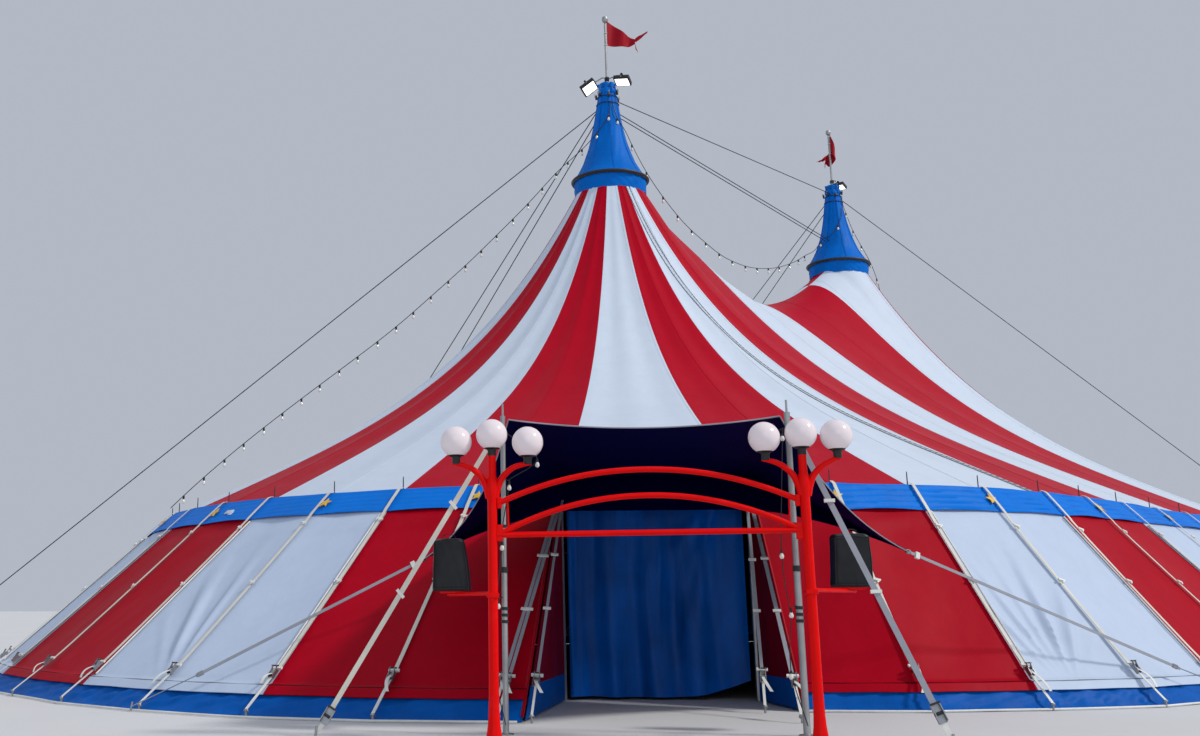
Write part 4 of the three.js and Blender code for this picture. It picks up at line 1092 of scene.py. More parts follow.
# ------------------------------------------------------- mast heads and caps
for tag, x in (("west", W), ("east", E)):
    prof = [(.20, 15.82), (.235, 15.6), (.285, 15.3), (.335, 14.98), (.40, 14.62), (.485, 14.25), (.585, 13.9), (.71, 13.55), (.85, 13.28), (.985, 13.07)]
    zs = np.linspace(15.82, 13.07, 30)
    prof = [(float(np.interp(-z, [-q[1] for q in prof], [q[0] for q in prof])), float(z)) for z in zs]
    rows = []
    n = 96
    for j, (r, z) in enumerate(prof):
        v = j / (len(prof) - 1)
        line = []
        for i in range(n):
            a = 2 * math.pi * i / n
            # eight gores, drawn in slightly between their seams, and a few long pulls
            g = .5 - .5 * math.cos(8 * a)
            w = -.030 * r * g * math.sin(math.pi * v) - .010 * math.sin(3 * a + 6 * v + (1 if tag == "west" else 3)) * math.sin(math.pi * v)
            w += .008 * math.sin(19 * a + 5 * v) * (1 - v) ** 2
            # slack pulls that run down and across between the gores
            w += .009 * r * math.sin(13 * a + 17 * v + 2 * math.sin(3 * a)) * math.exp(-((v - .72) / .22) ** 2)
            rr = r + .012 + w
            line.append((x + rr * math.cos(a), rr * math.sin(a), z))
        rows.append(line)
    rows = np.array(rows)
    g = Mesh("cap_cone_" + tag, "blue").grid(rows, closed=True)
    a = area_of(g.v, g.f)
    o = g.build(slot="blue_cloth", solid=.012, smooth=45)
    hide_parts("cap_" + tag)
    sew = Mesh("cap_seams_" + tag, "blue", "rope")
    for q in range(8):
        for dq in (-.012, .012):
            sew.tube([rows[j][(q * 12) % n] + np.array([-math.sin(q * math.pi / 4), math.cos(q * math.pi / 4), 0]) * dq
                      + np.array([math.cos(q * math.pi / 4), math.sin(q * math.pi / 4), 0]) * .004 for j in range(len(prof))], .006, 5)
    sew.build(smooth=60)
    # rim: a light bead at the cone's edge; the dark ring below it is painted shade, standing for the shadow gap between
    # cone and collar
    rim = Mesh("cap_rim_" + tag, "valance", "dark")
    th = np.linspace(0, 2 * math.pi, 73)[:-1]
    rim.tube([(x + 1.0 * math.cos(q), 1.0 * math.sin(q), 13.075) for q in th], .018, 8, 0, closed=True)
    rim.tube([(x + 1.045 * math.cos(q), 1.045 * math.sin(q), 13.02) for q in th], .038, 10, 1, closed=True)
    rim.build(smooth=60)
    # collar, drawn in over the top of the canopy
    rows = []
    for j in range(9):
        v = j / 8
        z = 12.985 - .40 * v
        line = []
        for i in range(96):
            q = 2 * math.pi * i / 96
            r = 1.0 - .02 * v + .010 * math.sin(11 * q + 5 * v) * math.sin(math.pi * v) + .006 * math.sin(23 * q - 9 * v)
            line.append((x + r * math.cos(q), r * math.sin(q), z + (.012 * math.sin(5 * q) * v)))
        rows.append(line)
    g = Mesh("collar_cloth_" + tag, "blue").grid(rows, closed=True)
    a = area_of(g.v, g.f)
    o = g.build(slot="blue_cloth", solid=.01, smooth=45)
    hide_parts("collar_" + tag)
    # gathered top of the cap: bunched cloth, ties, blocks and shackles
    head = Mesh("mast_head_" + tag, "blue", "dark", "cable", "ratchet")
    rows = []
    for z, r in ((15.62, .25), (15.72, .265), (15.8, .235), (15.84, .225), (15.9, .25), (15.93, .235), (15.90, .19)):
        rows.append([(x + (r + .016 * math.sin(9 * q) + .01 * math.sin(17 * q + z * 9)) * math.cos(q), (r + .016 * math.sin(9 * q) + .01 * math.sin(17 * q + z * 9)) * math.sin(q), z + .012 * math.sin(6 * q)) for q in np.linspace(0, 2 * math.pi, 49)[:-1]])
    head.grid(rows, 0, closed=True)
    for z in (15.3, 15.52, 15.8):
        rr = .20 + (15.82 - z) * .155 + .035
        head.tube([(x + rr * math.cos(q), rr * math.sin(q), z) for q in np.linspace(0, 2 * math.pi, 49)[:-1]], .013, 6, 1, closed=True)
    for q in np.linspace(0, 2 * math.pi, 8)[:-1] + .35:
        r0 = .285
        c = np.array([x + r0 * math.cos(q), r0 * math.sin(q), 15.56 + .06 * math.sin(3 * q)])
        o3 = np.array([math.cos(q), math.sin(q), 0])
        t3 = np.array([-math.sin(q), math.cos(q), 0])
        head.box(c + o3 * .03, (t3, o3, UP), (.03, .028, .06), 1, bevel=.008)
        head.tube([c + o3 * .02 + UP * .07, c + o3 * .07 + UP * .11, c + o3 * .075 + UP * .02, c + o3 * .03 - UP * .03], .01, 6, 3)
    head.build(smooth=50)
# the wall sheets' flat sizes and areas, worked out once all are built
for name, (o, a, flat) in walls.items():
    w, l = max(flat), min(flat)
    a = min(a, w * l)

# ---------------------------------------------------------------- pennants


def pennant(tag, x, kind):
    """Swallow-tailed flag. Tables: way along the cloth, reach to the right of
    the pole, depth behind it, top edge and bottom edge above the hoist's middle."""
    z0, H = 17.52, (.80 if kind == "open" else .78)
    rt = np.array([math.sin(math.pi / 4), -math.cos(math.pi / 4), 0])
    fw = np.array([math.cos(math.pi / 4), math.sin(math.pi / 4), 0])
    if kind == "open":
        U = [0, .18, .36, .52, .70]
        body = ([0, .215, .44, .635, .80], [0, .05, -.02, .06, .02], [.38, .25, .05, -.08, -.17], [-.38, -.40, -.41, -.39, -.33])
        tails = (([.80, .90, 1.02, 1.16], [.02, -.02, -.03, -.02], [-.15, -.10, -.03, .05], [-.30, -.22, -.12, .01]),
                 ([.80, .83, .87, .895], [.02, .12, .18, .22], [-.28, -.33, -.40, -.46], [-.37, -.42, -.46, -.49]))
    else:
        U = [0, .2, .4, .58, .75]
        body = ([0, .045, .16, .0, -.19], [0, -.13, .03, .20, .13], [.38, .10, -.30, -.30, -.42], [-.38, -.48, -.56, -.76, -.72])
        tails = (([-.19, -.30, -.41, -.52], [.13, .11, .07, .04], [-.42, -.53, -.60, -.65], [-.57, -.62, -.645, -.655]),
                 ([-.19, -.21, -.23, -.24], [.13, .10, .06, .03], [-.57, -.68, -.78, -.90], [-.72, -.79, -.85, -.905]))
    g = Mesh("pennant_cloth_" + tag, "flag")

    def patch(lat, dep, top, bot, us, nn, nv, v0, v1, edge0=None):
        """A strip of cloth between two edge lines; v0..v1, its part of the hoist, is not used."""
        P = []
        ts = np.linspace(0, 1, nn)
        su = np.linspace(0, 1, len(lat))
        for t in ts:
            la, de, zt, zb = (float(np.interp(t, su, c)) for c in (lat, dep, top, bot))
            line = []
            for v in np.linspace(0, 1, nv):
                w = (.020 if kind == "open" else .045) * math.sin((9 if kind == "open" else 15) * t + 2.2 * v + (0 if edge0 is None else 2)) * min(1, t * 3 if edge0 is None else 1)
                line.append(np.array([x, 0, z0]) + rt * (.045 + la) + fw * (de + w) + UP * (zt + (zb - zt) * v))
            P.append(line)
        if edge0 is not None:
            P[0] = edge0
        return P

    def smooth4(c):
        n_ = len(c)
        return [float(v) for v in np.asarray(spline([(q, w, 0) for q, w in enumerate(c)], 6))[:, 1]] if n_ > 2 else c

    A = patch(*[smooth4(c) for c in body], U, 22, 15, 0, 1)
    B = patch(*[smooth4(c) for c in tails[0]], None, 14, 8, 0, .5, A[-1][:8])
    C = patch(*[smooth4(c) for c in tails[1]], None, 10, 8, .5, 1, A[-1][7:])
    for P in (A, B, C):
        g.grid(np.array(P))
    o = g.build(slot="pennant_cloth", solid=.005, smooth=60, weld=True)
    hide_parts("pennant_" + tag)
    ties = Mesh("pennant_ties_" + tag, "rope")
    for z in (z0 + .36, z0, z0 - .36):
        ties.tube([(x + .046 * math.cos(q), .046 * math.sin(q), z) for q in np.linspace(0, 2 * math.pi, 13)[:-1]], .01, 6, closed=True)
    ties.build(smooth=60)


pennant("west", W, "open")
pennant("east", E, "furled")

# -------------------------------------------------------------- floodlights
LR, LF = np.array([math.sin(math.pi / 4), -math.cos(math.pi / 4), 0]), np.array([math.cos(math.pi / 4), math.sin(math.pi / 4), 0])
# name, mast, middle (right, up), long side and short side of the glass (right, away, up)
LAMPS = (("floodlight_west_left", W, -.50, 15.84, (.337, -.096, .233), (.161, .342, -.132), .185, .165),
         ("floodlight_west_right", W, .44, 16.04, (.50, -.20, -.060), (.15, .34, -.08), .185, .16),
         ("floodlight_east", E, .26, 15.91, (.261, -.218, .004), (.173, .206, -.079), .16, .13))
for name, x, lr, z, xv, yv, ha, hb in LAMPS:
    X = LR * xv[0] + LF * xv[1] + UP * xv[2]
    X /= np.linalg.norm(X)
    Y = LR * yv[0] + LF * yv[1] + UP * yv[2]
    Y -= X * (X @ Y)
    Y /= np.linalg.norm(Y)
    N = np.cross(X, Y)
    if N[2] < 0:
        N = -N                                    # the back of the lamp faces up
    ctr = np.array([x, 0, 0]) + LR * lr + UP * z
    fl = Mesh("lamp_" + name, "dark", "lens", "steel")
    fl.box(ctr + N * .030, (X, Y, N), (ha + .04, hb + .04, .055), 0, bevel=.012)
    fl.box(ctr - N * .026, (X, Y, N), (ha, hb, .010), 1, bevel=.004)
    for i in range(-5, 6):
        fl.box(ctr + N * .105 + X * i * ha * .17, (X, Y, N), (.006, hb * .9, .026), 0)
    # yoke with its bolts, and the arm to the mast
    for w in (-1, 1):
        fl.box(ctr + Y * w * (hb + .047) + N * .06, (X, Y, N), (.028, .006, .08), 0)
        fl.lathe([(0, .012), (.02, .010), (.02, -.006), (0, -.008)], ctr + Y * w * (hb + .057) + N * .03, axis=Y * w, n=12, mat=2)
    fl.box(ctr + N * .142, (X, Y, N), (.028, hb + .053, .006), 0)
    base = np.array([x, 0, 16.10])
    side = LR * (1 if lr > 0 else -1)
    arm = spline([base + side * .03, base + side * .12 + UP * .05, (base + ctr + N * .145) / 2 + UP * .04, ctr + N * .145], 5)
    fl.tube(arm, .018, 8, 2)
    fl.box(base, (LR, LF, UP), (.06, .06, .05), 0, bevel=.01)
    # its supply cable, down to the cap
    fl.tube(spline([ctr + N * .10, ctr + N * .14 - side * .10 - UP * .06, base + side * .13 - UP * .16, base + side * .20 - UP * .40], 5), .008, 6, 0)
    ob = fl.build(smooth=40)
    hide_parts(name)

# ------------------------------------------------------------------- awning
FRONT, Z_AWN = 17.0, 3.98
POLES = {"left": -2.38, "right": 1.3}
TIPS = {"left": (13.6, -3.82, 2.24), "right": (13.6, 3.66, 2.32)}
GUY = {"left": (17.6, -4.68), "right": (18.3, 2.7)}
SPEAKER = {"left": (16.72, -3.08, 2.07), "right": (16.72, 2.05, 2.1)}
FLAP = [(RUN + .58, 3.12), (RUN + .27, ZE + .15)]
TIE_K = {"left": -2, "right": 2.5}


def tie_foot(tag):
    q = (TIE_K[tag] + 8) * 2
    cx, c, sn = stn(q)
    r = foot_r(q) + .3
    return np.array([cx + r * c, r * sn, .03])


def awn_roof(f, h):
    g_ = h * 2 - 1
    front = POLES["left"] + .07 + (POLES["right"] - POLES["left"] - .14) * h
    run = RUN + .28 + (FRONT - RUN - .28) * f - .07 * (1 - g_ * g_) * f ** 4
    z = ZE + .162 + (Z_AWN - ZE - .2) * f - .12 * (1 - g_ * g_) * f - .10 * math.sin(math.pi * f)
    return door(run, g_ * 1.62 * (1 - f) + front * f, z)


def awn_centre(t, h):
    """t from the lower edge of the flap (0) over the eave (1..2) to the front edge (7)."""
    if t < 1:
        o, z = (FLAP[0][i] + (FLAP[1][i] - FLAP[0][i]) * t for i in (0, 1))
        return door(o, (h * 2 - 1) * 1.62, z - .05 * (1 - t) * (1 - (2 * h - 1) ** 2) * 0)
    if t < 2:
        p0, p1 = door(FLAP[1][0], (h * 2 - 1) * 1.62, FLAP[1][1]), awn_roof(0, h)
        return p0 + (p1 - p0) * (t - 1)
    return awn_roof((t - 2) / 5, h)


def awn_side(t, tag, f):
    h, w, bow = (0 if tag == "left" else 1), 1 - t / 7, 4 * f * (1 - f)
    q, c, a0, b0 = awn_centre(t, h), door(*TIPS[tag]), awn_centre(7, h), awn_centre(0, h)
    p = q + (c - q) * f + bow * ((1 - w) * .16 * (b0 - a0) + w * .07 * (a0 - b0))
    # tension folds that run into the tied corner
    return p + (EV * .5 + UP * .5) * .018 * math.sin(w * 21) * math.sin(math.pi * min(1, f * 1.02)) * f


ts = list(np.linspace(0, .9, 5)) + [1.0, 1.5] + list(2 + 5 * np.linspace(0, 1, 34))
ff = np.linspace(0, .985, 18)
rows = []
for t in ts:
    row = [awn_side(t, "left", f) for f in ff[:0:-1]]
    for j in range(37):
        h = j / 36
        p = awn_centre(t, h)
        if t > 2:
            q = (t - 2) / 5
            p = p + UP * (.006 * math.sin(9 * q + 5 * h) + .005 * math.sin(31 * h) * q * (1 - q) * 4)
        row.append(p)
    row += [awn_side(t, "right", f) for f in ff[1:]]
    rows.append(row)
g = Mesh("awning_cloth", "navy").grid(rows)
awn = g.build(slot="navy_cloth", solid=.010, smooth=50)
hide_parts("awning")
trim = Mesh("awning_edging", "web_grey", "steel", "navy")
trim.tube([awn_centre(7, h) + UP * .004 for h in np.linspace(0, 1, 30)], .010, 6)
for tag in ("left", "right"):
    for t in (0, 7):
        trim.tube([awn_side(t, tag, f) for f in np.linspace(0, .985, 24)], .009, 6, 2 if t == 0 else 0)
    C0 = awn_side(3.5, tag, .985)
    trim.lathe([(.020, -.012), (.045, -.012), (.045, .012), (.020, .012), (.020, -.012)], C0, axis=EV * .5 + UP * .6, n=16, mat=1)
trim.tube([awn_centre(0, h) for h in np.linspace(0, 1, 12)], .012, 8, 2)
trim.build(smooth=60)
# webbing from the wing tips to the ground, webbing guys from the pole heads
ties = Mesh("awning_ties", "web_grey", "rope", "ratchet")
for tag in ("left", "right"):
    tip, foot_p = awn_side(3.5, tag, .985), tie_foot(tag)
    d = foot_p - tip
    L = np.linalg.norm(d)
    d /= L
    n3 = EV * .8 + UP * .25
    n3 = n3 - d * (n3 @ d)
    n3 /= np.linalg.norm(n3)
    sd = np.cross(d, n3)
    a0 = tip + d * .05
    ties.ribbon([a0 + d * (L * .77) * q for q in np.linspace(0, 1, 10)], [sd] * 10, [n3] * 10, .046, .010)
    ties.box(a0 + d * .12, (sd, d, n3), (.05, .035, .02), 1)
    ties.box(a0 + d * L * .755, (sd, d, n3), (.032, .05, .014), 2)
    ties.tube([a0 + d * L * .75, foot_p + UP * .04], .008, 6, 2)
    # small stake
    stakes.tube([foot_p - UP * .02, foot_p + UP * .1 - d * .03], .014, 8)
ties.build(smooth=0)
for tag in ("left", "right"):
    p0 = door(FRONT + .1, POLES[tag], Z_AWN - .08)
    p1 = door(GUY[tag][0], GUY[tag][1], .02)
    d = (p1 - p0) / np.linalg.norm(p1 - p0)
    p0 = p0 + d * .06
    L = np.linalg.norm(p1 - p0)
    # painted shade: the right guy takes the grey webbing for the light strap where it hangs in shadow; the left guy
    # keeps the light webbing
    g = Mesh("guy_strap_" + tag, "web" if tag == "left" else "web_grey", "ratchet", "dark", "rope")
    face = EV - d * (EV @ d)
    face /= np.linalg.norm(face)
    wid = np.cross(face, d)
    q0 = .93 if tag == "left" else .905
    wd = .062 if tag == "left" else .072
    g.ribbon([p0 + d * L * t for t in np.linspace(0, q0, 16)], [wid] * 16, [face] * 16, wd, .008)
    g.ribbon([p0 + d * L * t for t in np.linspace(q0 + .03, .99, 6)], [wid] * 6, [face] * 6, wd * .9, .008, 3)
    for t in (.27, .56):
        g.box(p0 + d * L * t + face * .01, (wid * .94 + d * .34, d * .94 - wid * .34, face), (.066, .020, .014), 3)
    c = p0 + d * L * (q0 + .01)
    g.box(c, (wid, d, face), (.05, .11, .008), 1)
    for w in (-1, 1):
        g.box(c + wid * .05 * w + face * .03, (wid, d, face), (.005, .10, .035), 1)
    g.tube([c - wid * .06 + face * .04, c + wid * .06 + face * .04], .018, 8, 2)
    g.tube([c - wid * .06 + face * .07 - d * .11, c + wid * .06 + face * .07 - d * .11], .012, 8, 2)
    ob = g.build(smooth=40, slot="webbing")
    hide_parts("awning_guy_" + tag)
    stakes.tube([p1 - UP * .015, p1 + UP * .1 - d * .02], .017, 8)

# small fittings on the awning poles: collars, tape, lamps
fit = Mesh("awning_pole_fittings", "dark", "bulb", "black")
for tag, spots in (("left", ((-1.934, 3.345), (-2.302, 3.051), (-2.402, 2.287), (-2.455, 1.563), (-2.544, 0.842))),
                   ("right", ((1.212, 3.647), (1.113, 2.167), (1.185, 1.444), (1.138, 0.712)))):
    ra = .037 if tag == "left" else .043
    run = []
    for side, z in spots:
        # a small lamp on the cable that is tied to the pole
        p = door(FRONT + .1, side, z) + EV * (ra + .03)
        fit.lathe([(0, .058), (.015, .056), (.018, .02), (0, .018)], p, n=10, mat=2)
        fit.lathe([(0, .022), (.014, .020), (.027, -.008), (.029, -.026), (.019, -.046), (0, -.052)], p, n=12, mat=1)
        far = abs(side - POLES[tag]) > .12
        hang = p + UP * .055
        run += [hang + UP * .012] if far else [hang + UP * .05 + TV * (.02 if side > POLES[tag] else -.02), hang + UP * .012, hang + EV * .01 - UP * .05]
        if not far:
            fit.tube([door(FRONT + .1, POLES[tag], z + .11), hang + UP * .02], .006, 6, 2)
    head = door(FRONT + .1, POLES[tag] + .04, Z_AWN - .22)
    fit.tube(spline([head] + run + [door(FRONT + .15 + ra, POLES[tag], .12)], 4), .007, 6, 2)
    for z in (2.55, 1.52, 1.44, 1.36):
        fit.lathe([(ra - .002, -.02), (ra + .010, -.018), (ra + .010, .018), (ra - .002, .02)], door(FRONT + .1, POLES[tag], z), n=18, mat=0)
fit.build(smooth=50)
stakes.build(smooth=40)

for tag, (so, ss, sz) in SPEAKER.items():
    q = door(FRONT + .1, POLES[tag], 0)
    pl = Mesh("awning_tent_pole_" + tag, "steel", "post", "dark")
    ra = .037 if tag == "left" else .043
    pl.lathe([(0, 0), (.1, 0), (.1, .012), (ra + .005, .016), (ra, .03), (ra, 2.0), (ra - .004, 2.02), (ra - .004, Z_AWN), (.015, Z_AWN + .004), (.013, Z_AWN + .16), (0, Z_AWN + .165)], q, n=24)
    pl.lathe([(.0, 1.96), (ra + .008, 1.965), (ra + .008, 2.035), (0, 2.04)], q, n=20, mat=2)
    pl.box(door(so, ss, sz - .345), (EV, TV, UP), (.15, .15, .012), 1)
    post_at = door(17.75, {"left": -2.495, "right": 1.335}[tag], sz - .372)
    way = door(so, ss, sz - .372) - post_at
    far = np.linalg.norm(way)
    way /= far
    pl.tube([post_at + way * .02, post_at + way * (far + .10)], .026, 12, 1)
    sleeve = post_at + way * .10
    pl.tube([sleeve + UP * .04, sleeve - UP * .30], .016, 10, 1)
    pl.tube([sleeve - UP * .29, post_at - UP * .29], .012, 8, 2)
    pl.box(post_at - UP * .02, (EV, TV, UP), (.074, .074, .03), 1, bevel=.012)
    ob = pl.build(smooth=40, slot="galvanised")
    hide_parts("awning_pole_" + tag)

# ---------------------------------------------------------------- lamp portal
GATE = 17.75
POST = {"left": -2.495, "right": 1.335}
for tag in ("left", "right"):
    s0 = POST[tag]
    p = lambda side, z: door(GATE, s0 + side, z)
    post = Mesh("portal_post_" + tag, "post", "black", "globe")
    post.lathe([(0, 0), (.106, 0), (.106, .012), (.098, .03), (.088, .08), (.077, .16), (.070, .26), (.064, .42), (.062, .8), (.061, 1.6), (.060, 2.4), (.060, 2.80), (.054, 3.0), (.051, 3.2), (.050, 3.43), (.0, 3.45)], p(0, 0), n=36)
    # the joint where the arms leave the post
    post.lathe([(.058, 2.78), (.066, 2.86), (.076, 2.96), (.076, 3.03), (.064, 3.10), (.050, 3.14)], p(0, 0), n=32)
    low = {"left": (-.025, -.03, -.04), "right": (-.02, -.06, .0)}[tag]
    for w in (-1, 0, 1):
        if w:
            far = .43 if (tag, w) == ("right", 1) else .45
            dz = low[w + 1]
            arm = spline([p(w * .035, 2.86), p(w * .07, 2.985), p(w * .135, 3.12), p(w * .25, 3.225), p(w * .36, 3.285 + dz * .5), p(w * (far + .045), 3.325 + dz)], 6)
            rad = np.interp(np.linspace(0, 1, len(arm)), [0, .3, .8, 1], [.050, .042, .033, .022])
            post.tube(arm, rad, 14, 0)
            base = p(w * far, 3.33 + dz)
        else:
            base = p(0, 3.42 + low[1])
        post.lathe([(0, -.02), (.048, -.02), (.052, .0), (.052, .05), (.062, .07), (.10, .085), (.103, .105), (.0, .11)], base, n=28, mat=1)
        gc = np.array([base[0], base[1], base[2] + .105 + .155])
        post.ball(gc, .196, 2, n=48, m=30)
        # the seam ring that holds the globe
        post.lathe([(.098, .098), (.108, .102), (.108, .114), (.098, .118)], base, n=32, mat=1)
    ob = post.build(smooth=35, slot="red_paint")
    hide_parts("lamp_post_" + tag)
a, b = POST["left"] + .07, POST["right"] - .07
c, h = (a + b) / 2, (b - a) / 2
ar = Mesh("portal_arches", "post")
for z0, z1, zm, r in ((2.405, 2.445, 2.875, .036), (2.79, 2.80, 3.195, .036)):
    pts = []
    for i in range(41):
        gg = i / 20 - 1
        pts.append(door(GATE, c + h * gg, (z0 + (z1 - z0) * i / 40) + (zm - (z0 + z1) / 2) * (1 - abs(gg) ** 2.1)))
    ar.tube(pts, r, 12)
ar.tube([door(GATE, a - .01, 2.405), door(GATE, b + .01, 2.44)], .036, 12)
ar.tube([door(GATE, a + .13, 2.46), door(GATE, a + .12, 2.86)], .012, 8)
ar.tube([door(GATE, b - .13, 2.5), door(GATE, b - .12, 2.87)], .012, 8)
for s0 in (a, b):
    ar.box(door(GATE, s0 + (.02 if s0 == a else -.02), 2.43), (EV, TV, UP), (.03, .04, .10), 0, bevel=.008)
    ar.box(door(GATE, s0 + (.02 if s0 == a else -.02), 2.80), (EV, TV, UP), (.03, .03, .07), 0, bevel=.008)
ob = ar.build(smooth=40, slot="red_paint")
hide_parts("lamp_arches")

# ------------------------------------------------ covered loudspeakers
for tag, (o0, s0, z0) in SPEAKER.items():
    g = Mesh("speaker_cover_" + tag, "cover")
    rows = []
    hx, hy, hz = .185, .245, .325
    NQ, NV = 96, 34

    def cover_pt(i, v, proud=0.0):
        q = 2 * math.pi * i / NQ
        cq, sq = math.cos(q), math.sin(q)
        m = (abs(cq) ** 9 + abs(sq) ** 9) ** (-1 / 9)
        # narrower at the top, and drawn to the outer side
        wd = (.80 + .20 * v ** .8) if tag == "left" else (.93 + .07 * v)
        lean = -(1 - wd) * hy * (.85 if tag == "left" else -.9)
        dp = .86 + .14 * v
        # slack cloth: pulls from the corners, gathers above the bottom hem
        wr = 1 + .012 * math.sin(5 * q + 6 * v) + .006 * math.sin(13 * q - 9 * v)
        wr += .022 * math.sin(26 * q + 3 * math.sin(4 * v)) * max(0.0, (v - .72) / .28) ** 1.3 * max(0.0, 1 - abs(v - .93) * 9 if v > .93 else 1)
        wr += .014 * math.sin(9 * v + 4 * q) * math.exp(-((v - .45) / .25) ** 2)
        hem = -.03 * math.exp(-((v - .965) / .016) ** 2)
        rnd = 1 - .07 * max(0.0, (.07 - v) / .07) ** 2 - .05 * max(0.0, (v - .95) / .05) ** 2
        z = z0 + hz - 2 * hz * v + .012 * math.sin(3 * q + 1) * (1 - v)
        k_ = (wr + hem) * rnd
        return door(o0 + (hx * m * cq * k_ * dp) + proud * cq, s0 + lean + hy * m * sq * k_ * wd + proud * sq, z)

    for j in range(NV):
        rows.append([cover_pt(i, j / (NV - 1)) for i in range(NQ)])
    cen = sum(rows[0]) / NQ
    crown = []
    for t, dz in ((.02, .026), (.35, .022), (.65, .016), (.88, .008)):
        crown.append([cen + UP * dz + (rows[0][i] - cen) * t + UP * (.006 * math.sin(5 * t + i * .3)) for i in range(NQ)])
    rows = crown + rows
    g.grid(rows, closed=True, flip=True)
    n = g.n
    g.f.append(tuple(range(NQ)))
    g.m.append(0)
    g.f.append(tuple(range(n - NQ, n))[::-1])
    g.m.append(0)
    ob = g.build(smooth=50, slot="black_cover")
    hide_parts("loudspeaker_" + tag)
    # piped seams, bottom draw cord and carrying loops
    trim = Mesh("speaker_trim_" + tag, "black", "web_grey")
    for q in (.125, .375, .625, .875):
        trim.tube([cover_pt(q * NQ, v, .002) for v in np.linspace(.03, .97, 18)], .005, 6)
    trim.tube([cover_pt(i, .045, .003) for i in range(NQ)], .005, 6, closed=True)
    trim.tube([cover_pt(i, .962, .002) for i in range(NQ)], .007, 6, closed=True)
    for w in (-1, 1):
        hp = [door(o0 + w * .04, s0 - (.045 if tag == "left" else -.02) + dy, z0 + hz + dz) for dy, dz in ((-.09, .012), (-.085, .05), (-.04, .075), (.04, .075), (.085, .05), (.09, .012))]
        hp = spline(hp, 4)
        trim.ribbon(hp, [EV] * len(hp), [UP] * len(hp), .03, .005, 0)
    trim.build(smooth=50)

# ------------------------------------------------------------------ doorway
half = R * math.sin(HALF_DOOR) - .12
rows, nr, nc = [], 56, 150
for i in range(nr + 1):
    v = i / nr
    z = 3.50 - 3.45 * v
    line = []
    for j in range(nc + 1):
        h = j / nc
        g_ = h * 2 - 1
        # broad upright folds, deeper towards the floor
        d = .072 * math.sin(2 * math.pi * (h * 4.3 + .10 * math.sin(3.1 * v) + .12)) * (.45 + .55 * v) * (1 - .55 * max(0, g_))
        d += .014 * math.sin(2 * math.pi * (h * 9.3 + .3 * math.sin(2.3 * v + 1))) * (.6 + .4 * math.sin(5 * v + 9 * h))
        # a close gather at the left edge
        d += .022 * math.sin(2 * math.pi * h * 17) * math.exp(-(h / .09) ** 2)
        # pulls that fan out of the upper right corner, down and to the left
        dx, dy = (.90 - h) * 3.03, v * 3.44 + .05
        th, dist = math.atan2(dx, dy), math.hypot(dx, dy)
        d += .070 * math.sin(th * 10 + .4 + .5 * math.sin(dist * 1.4)) * math.exp(-((th - .46) / .36) ** 2) * min(1, dist / 1.1) * (1 - .45 * v)
        d += .007 * math.sin(th * 26 + 1.0) * math.exp(-((th - .40) / .26) ** 2) * min(1, dist / .9)
        # one crease that stands up sharply near the middle
        d += .030 * math.exp(-((h - .515 - .01 * math.sin(6 * v)) / .016) ** 2) * math.exp(-((v - .42) / .22) ** 2)
        lift = .26 * max(0.0, (h - .60) / .40) ** 1.6 * v ** 5 - .03 * math.exp(-((h - .42) / .2) ** 2) * v ** 5
        zz = z + lift + .012 * math.sin(14 * h) * v
        line.append(door(RUN - .27 + max(min(d, .16), -.16), g_ * half, max(zz, .045)))
    rows.append(line)
g = Mesh("curtain_cloth", "curtain").grid(rows)
a = area_of(g.v, g.f)
ob = g.build(slot="curtain", solid=.008, smooth=60)
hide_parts("entrance_curtain")
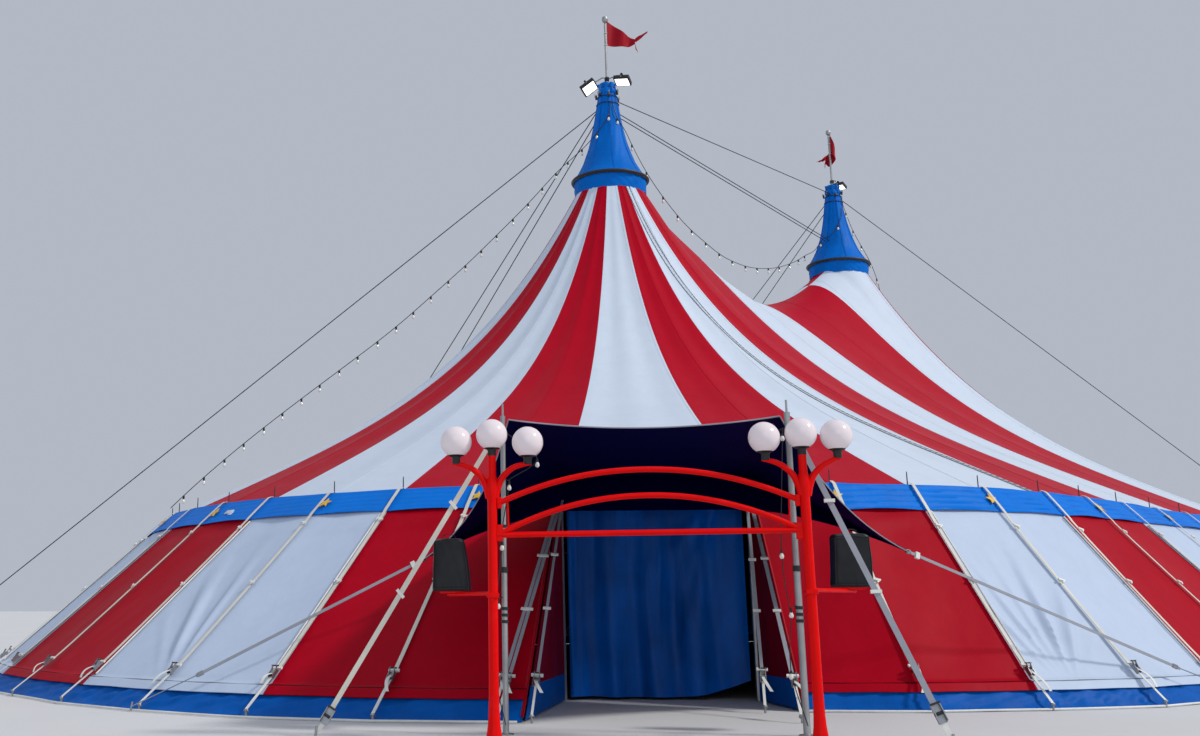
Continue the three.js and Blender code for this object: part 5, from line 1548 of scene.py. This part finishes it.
for tag, i, sgn in (("left", 15, -1), ("right", 17, 1)):
    cx, c, sn = stn(i)
    sd = tangent(i - .3 if i == 15 else i + .3)
    rows = []
    for j in range(25):
        v = j / 24
        z = 3.40 * (1 - v) + .02
        line = []
        for q in range(21):
            w = q / 20
            r0, r1 = R - .02, R + .04 + (foot_r(i) - .16 - R - .04) * v
            r = r0 + (r1 - r0) * w
            dd = -sgn * (.016 + .018 * math.sin(5 * w + 7 * v) * math.sin(math.pi * w) * math.sin(math.pi * v) + .006 * math.sin(17 * w))
            line.append(np.array([cx + r * c, r * sn, z]) + sd * dd)
        rows.append(line)
    # the upper cheek takes the darker red as a painted shade; the foot is skirt blue
    mats = [[1 if (j + .5) / 24 > .885 else 0] * 20 for j in range(24)]
    g = Mesh("cheek_cloth_" + tag, "cheek_red_painted_shade", "skirt").grid(rows, mats=mats)
    a = area_of(g.v, g.f)
    ob = g.build(slot="wall", solid=.008, smooth=60)
    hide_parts("doorway_cheek_" + tag)

# ------------------------------------------------- finish on the CAD pieces
GIVE = {"mast": "steel", "bail_ring": "dark", "side_poles": "steel", "end_stay": "cable", "back_stay": "cable", "ridge_cable": "cable", "awning_pole": "steel"}
for n, o in NODES.items():
    for k, m in GIVE.items():
        if n.startswith(k):
            o.data.materials.clear()
            o.data.materials.append(M[m])
            if k in ("mast", "side_poles"):
                o.data.polygons.foreach_set("use_smooth", [True] * len(o.data.polygons))

# ------------------------------------------------------------ stage and light
fm, fnt, fb = new_mat("stage_floor")
ftc = fnt.nodes.new("ShaderNodeTexCoord").outputs["Object"]
fnt.links.new(ramp(fnt, noise(fnt, ftc, .5, 4), [(.3, (.60, .60, .61)), (.7, (.64, .64, .65))]), fb.inputs["Base Color"])
fb.inputs["Roughness"].default_value = .8
me = bpy.data.meshes.new("stage_floor")
n = 64
V = [(260 * math.cos(2 * math.pi * i / n), 260 * math.sin(2 * math.pi * i / n), -.002) for i in range(n)]
me.from_pydata(V, [], [tuple(range(n))])
me.materials.append(fm)
floor = bpy.data.objects.new("stage_floor", me)
bpy.context.scene.collection.objects.link(floor)

world = bpy.data.worlds.new("world")
world.use_nodes = True
bg = world.node_tree.nodes["Background"]
bg.inputs[0].default_value = (.80, .87, 1.0, 1)
bg.inputs[1].default_value = .56
bpy.context.scene.world = world


def sun(name, az, el, power, size, colour=(1, 1, 1)):
    l = bpy.data.lights.new(name, "SUN")
    l.energy, l.angle, l.color = power, math.radians(size), colour
    o = bpy.data.objects.new(name, l)
    a, e = math.radians(az), math.radians(el)
    d = Vector((math.cos(a) * math.cos(e), math.sin(a) * math.cos(e), math.sin(e)))
    o.rotation_euler = d.to_track_quat("Z", "Y").to_euler()
    bpy.context.scene.collection.objects.link(o)


sun("key", -62, 43, 2.15, 7, (1, .965, .91))
sun("fill", 221, 17, .38, 40, (.88, .94, 1))
bpy.context.scene.view_settings.view_transform = "Standard"
